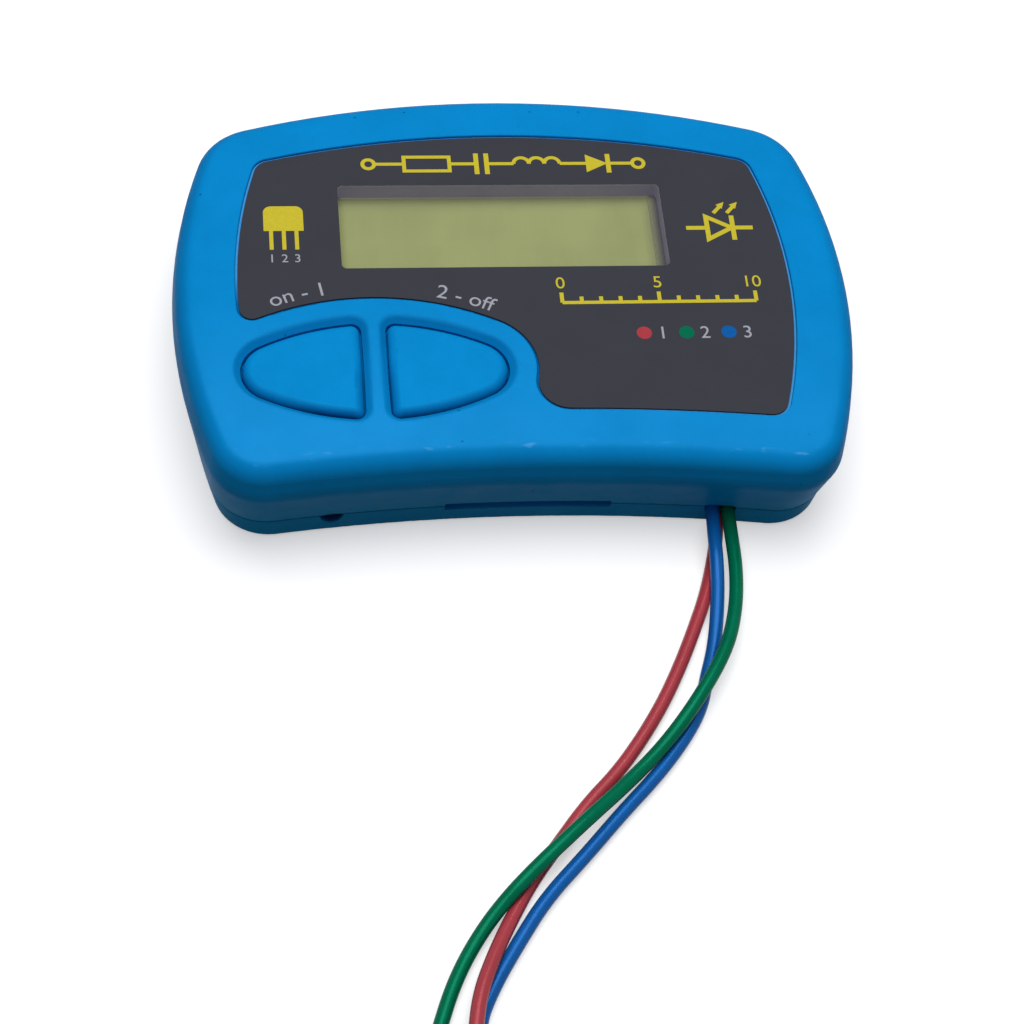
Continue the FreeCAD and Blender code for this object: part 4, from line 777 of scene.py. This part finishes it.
LEAD_DIAMETER = 2.1
LEAD_GLOSS = {"green": (0.03, 0.18), "blue": (0.09, 0.14), "red": (0.17, 0.06)}
LEAD_ROUTES = {
    "green": [
        (30.6, -28.0, 3.6), (30.6, -33.0, 3.6), (30.6, -38.5, 3.6), (30.6, -45.0, 3.4), (29.5, -52.0, 3.7),
        (27.1, -59.0, 4.2), (21.6, -67.4, 4.2), (16.4, -73.4, 2.6), (10.6, -79.0, 2.6), (4.2, -85.0, 4.2),
        (-4.3, -92.6, 4.2), (-9.3, -97.2, 2.1), (-13.1, -102.2, 1.15), (-15.9, -107.4, 1.15),
        (-18.0, -113.0, 1.15), (-20.1, -119.0, 1.15), (-22.7, -125.0, 1.3), (-25.3, -130.4, 2.4),
        (-27.6, -135.2, 4.0), (-30.0, -140.2, 4.0)],
    "blue": [
        (28.4, -28.0, 3.6), (28.4, -33.0, 3.6), (28.0, -38.0, 3.8), (27.8, -44.0, 3.6), (27.3, -50.0, 2.3),
        (26.1, -56.6, 1.15), (24.2, -62.0, 1.15), (22.8, -66.8, 1.15), (19.5, -72.0, 1.15),
        (15.0, -77.4, 1.15), (9.6, -82.8, 1.15), (3.9, -89.0, 1.15), (-2.2, -95.2, 1.15),
        (-6.7, -101.7, 1.15), (-10.6, -107.8, 1.15), (-13.1, -113.3, 1.15), (-12.4, -119.1, 1.15),
        (-10.2, -125.0, 1.3), (-8.2, -130.6, 2.4), (-6.0, -135.6, 4.0), (-3.8, -140.6, 4.0)],
    "red": [
        (29.5, -28.0, 1.75), (29.5, -33.0, 1.75), (28.9, -37.6, 1.3), (27.7, -42.4, 1.15),
        (26.0, -47.8, 1.15), (23.5, -53.6, 1.15), (20.8, -59.4, 1.15), (17.6, -65.4, 1.15),
        (13.8, -71.2, 1.15), (9.7, -76.5, 1.15), (4.8, -81.4, 1.15), (0.5, -86.9, 1.15),
        (-3.9, -92.5, 1.15), (-7.3, -98.2, 1.5), (-10.2, -103.8, 2.45), (-12.7, -109.7, 3.2),
        (-13.8, -116.3, 3.4), (-15.2, -122.8, 3.1), (-16.2, -129.0, 2.5), (-16.5, -134.4, 3.2),
        (-16.7, -138.6, 4.0), (-16.9, -142.8, 4.0)],
}


def lead_sleeve(name, colour, white_gloss, coloured_gloss):
    """Extruded PVC: soft gloss, a cloudy tint and the faint waviness of the wire's strands below."""
    material, tree, shader = new_material(name, IOR=1.5, Specular_IOR_Level=white_gloss,
                                          Metallic=coloured_gloss)
    cloudy = shaded(tree, noise(tree, 6, 4), linear(*colour), 0.92, 1.07)
    tree.links.new(cloudy, shader.inputs["Base Color"])
    tree.links.new(between(tree, noise(tree, 1.5, 3), 0.2, 0.28), shader.inputs["Roughness"])
    bumped(tree, shader, noise(tree, 0.8, 2), 0.02)
    return material


def add_lead(name):
    """Round sleeve on one smooth NURBS line that has the route's points as its control points."""
    route = np.array(LEAD_ROUTES[name]) * MILLIMETRE
    curve = bpy.data.curves.new(f"{name}_lead_line", "CURVE")
    curve.dimensions = "3D"
    spline = curve.splines.new("NURBS")
    spline.points.add(len(route) - 1)
    spline.points.foreach_set("co", np.column_stack([route, np.ones(len(route))]).ravel())
    spline.order_u = 3
    spline.use_endpoint_u = True
    spline.resolution_u = 12
    curve.bevel_depth = LEAD_DIAMETER * MILLIMETRE / 2
    curve.bevel_resolution = 6
    curve.use_fill_caps = True
    curve.materials.append(lead_sleeve(f"{name}_sleeve", LEAD_COLOURS[name], *LEAD_GLOSS[name]))
    lead = bpy.data.objects.new(f"{name}_lead_sleeve", curve)
    scene.collection.objects.link(lead)
    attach(lead, "case")
    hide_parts(f"{name}_lead")
    return lead


# Clips: a plunger with a finger cap and a sliding barrel, both moulded in the lead's colour, a plated
# wire hook fixed in the plunger, and the coil spring in the barrel that draws the hook in.

SPRING_WIRE = 0.6
SPRING_RADIUS = 1.65
SPRING_TURNS = 7
TURN_STEPS = 24
WIRE_SIDES = 12
HOOK_GOLD = (214, 178, 96)


def spring_run(name, heading):
    """Start and length of a clip's spring in millimetres, worked out from its CAD box.

    The box is as high as the spring is thick. Its depth is the spring's length times the heading's share
    in that direction, plus the thickness times the heading's share to the side.
    """
    low, high = (np.array(corner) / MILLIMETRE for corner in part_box(f"{name}_clip_spring"))
    _, depth, thickness = high - low
    side, ahead, _ = np.abs(heading)
    length = (depth - thickness * side) / ahead
    return (low + high) / 2 - heading * length / 2, length


def coil(start, heading, length):
    """Coil spring: a circle of wire carried along a helix about a level axis.

    A point of the helix lies at its radius times the cosine and sine of the turn, to the side and upwards,
    and moves along the axis in step with the turn. The wire's circle stands on the outward direction and
    on the axis.
    """
    turn = np.linspace(0, 2 * math.pi * SPRING_TURNS, TURN_STEPS * SPRING_TURNS + 1)[:, None, None]
    around = np.linspace(0, 2 * math.pi, WIRE_SIDES, endpoint=False)[None, :, None]
    side, up = np.array([-heading[1], heading[0], 0]), np.array([0, 0, 1])
    outward = np.cos(turn) * side + np.sin(turn) * up
    travel = SPRING_WIRE / 2 + (length - SPRING_WIRE) * turn / turn.max()
    wire = SPRING_WIRE / 2
    rings = (start + heading * travel + outward * (SPRING_RADIUS + wire * np.cos(around))
             - heading * wire * np.sin(around))
    return skin(rings)


spring_steel = plated_metal("spring_steel", STEEL, (0.2, 0.3))
hook_plating = plated_metal("hook_plating", HOOK_GOLD, (0.18, 0.28))
slides = {joint["name"]: joint for joint in frame["joints"]}
for name, colour in LEAD_COLOURS.items():
    heading = -np.array(slides[f"{name}_clip_slide"]["axis"])
    start, length = spring_run(name, heading)
    spring = add_piece(f"{name}_coil_spring", [coil(start, heading, length)], spring_steel, "case",
                       True)
    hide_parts(f"{name}_clip_spring")
    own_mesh(spring)
    dress(moulded_plastic(f"{name}_clip_plastic", colour, (0.3, 0.4), 0.25, 0.004, 0.12)[0],
          f"{name}_clip_plunger", f"{name}_clip_barrel")
    dress(hook_plating, f"{name}_clip_hook")
    lead = add_lead(name)
    x, _, z = LEAD_ROUTES[name][1]

# Studio: a pale table that shows white to the camera and keeps the tester's shadow, one large soft box
# overhead, and a dim even surround. The camera stands where the photograph was taken.

FLOOR_HALF = 3.0
FLOOR_LEVEL = -0.1
FLOOR_SEEN = 0.7
FLOOR_BOUNCE = (0.3, 0.26, 0.2)
FLOOR_GLOW = 0.5
SURROUND_COLOUR = (0.09, 0.095, 0.122)
KEY_PLACE = (-0.01, 0.035, 0.58)
KEY_SIZE = (0.5, 0.48)
KEY_POWER = 3.35
CAMERA_PLACE = (-47.67, -235.49, 311.72)
CAMERA_TURN = (33.477, -5.252, -4.928)
CAMERA_LENS = 87.98


def seen_directly(tree):
    """1 for rays that show a surface to the camera, straight on, in a reflection or through glass."""
    path = add_node(tree, "ShaderNodeLightPath", {}).outputs
    return joined(tree, path["Is Camera Ray"], path["Is Glossy Ray"], path["Is Transmission Ray"])


def grey(level):
    return (level, level, level, 1)


floor_mesh = bpy.data.meshes.new("floor")
corners = [(x * FLOOR_HALF, y * FLOOR_HALF) for x, y in ((-1, -1), (1, -1), (1, 1), (-1, 1))]
floor_mesh.from_pydata([(x, y, FLOOR_LEVEL * MILLIMETRE) for x, y in corners], [], [(0, 1, 2, 3)])
floor = bpy.data.objects.new("floor", floor_mesh)
scene.collection.objects.link(floor)
floor_white, tree, shader = new_material("floor_white", Roughness=0.9, Specular_IOR_Level=0.0,
                                         Emission_Color=grey(1))
seen = seen_directly(tree)
tree.links.new(blended(tree, seen, (*FLOOR_BOUNCE, 1), grey(FLOOR_SEEN)), shader.inputs["Base Color"])
tree.links.new(product(tree, seen, FLOOR_GLOW), shader.inputs["Emission Strength"])
floor_mesh.materials.append(floor_white)

world = bpy.data.worlds.new("studio")
scene.world = world
world.use_nodes = True
tree = world.node_tree
tree.links.new(blended(tree, seen_directly(tree), (*SURROUND_COLOUR, 1), grey(1)),
               tree.nodes["Background"].inputs["Color"])

key = bpy.data.lights.new("key_box", "AREA")
key.shape = "RECTANGLE"
key.size, key.size_y = KEY_SIZE
key.energy = KEY_POWER
lamp = bpy.data.objects.new("key_box", key)
lamp.location = KEY_PLACE
lamp.rotation_euler = (-Vector(KEY_PLACE)).to_track_quat("-Z", "Y").to_euler()
scene.collection.objects.link(lamp)

lens = bpy.data.cameras.new("camera")
lens.lens = CAMERA_LENS
camera = bpy.data.objects.new("camera", lens)
camera.location = np.array(CAMERA_PLACE) * MILLIMETRE
camera.rotation_euler = Euler([math.radians(angle) for angle in CAMERA_TURN])
scene.collection.objects.link(camera)
scene.camera = camera
scene.view_settings.view_transform = "Standard"
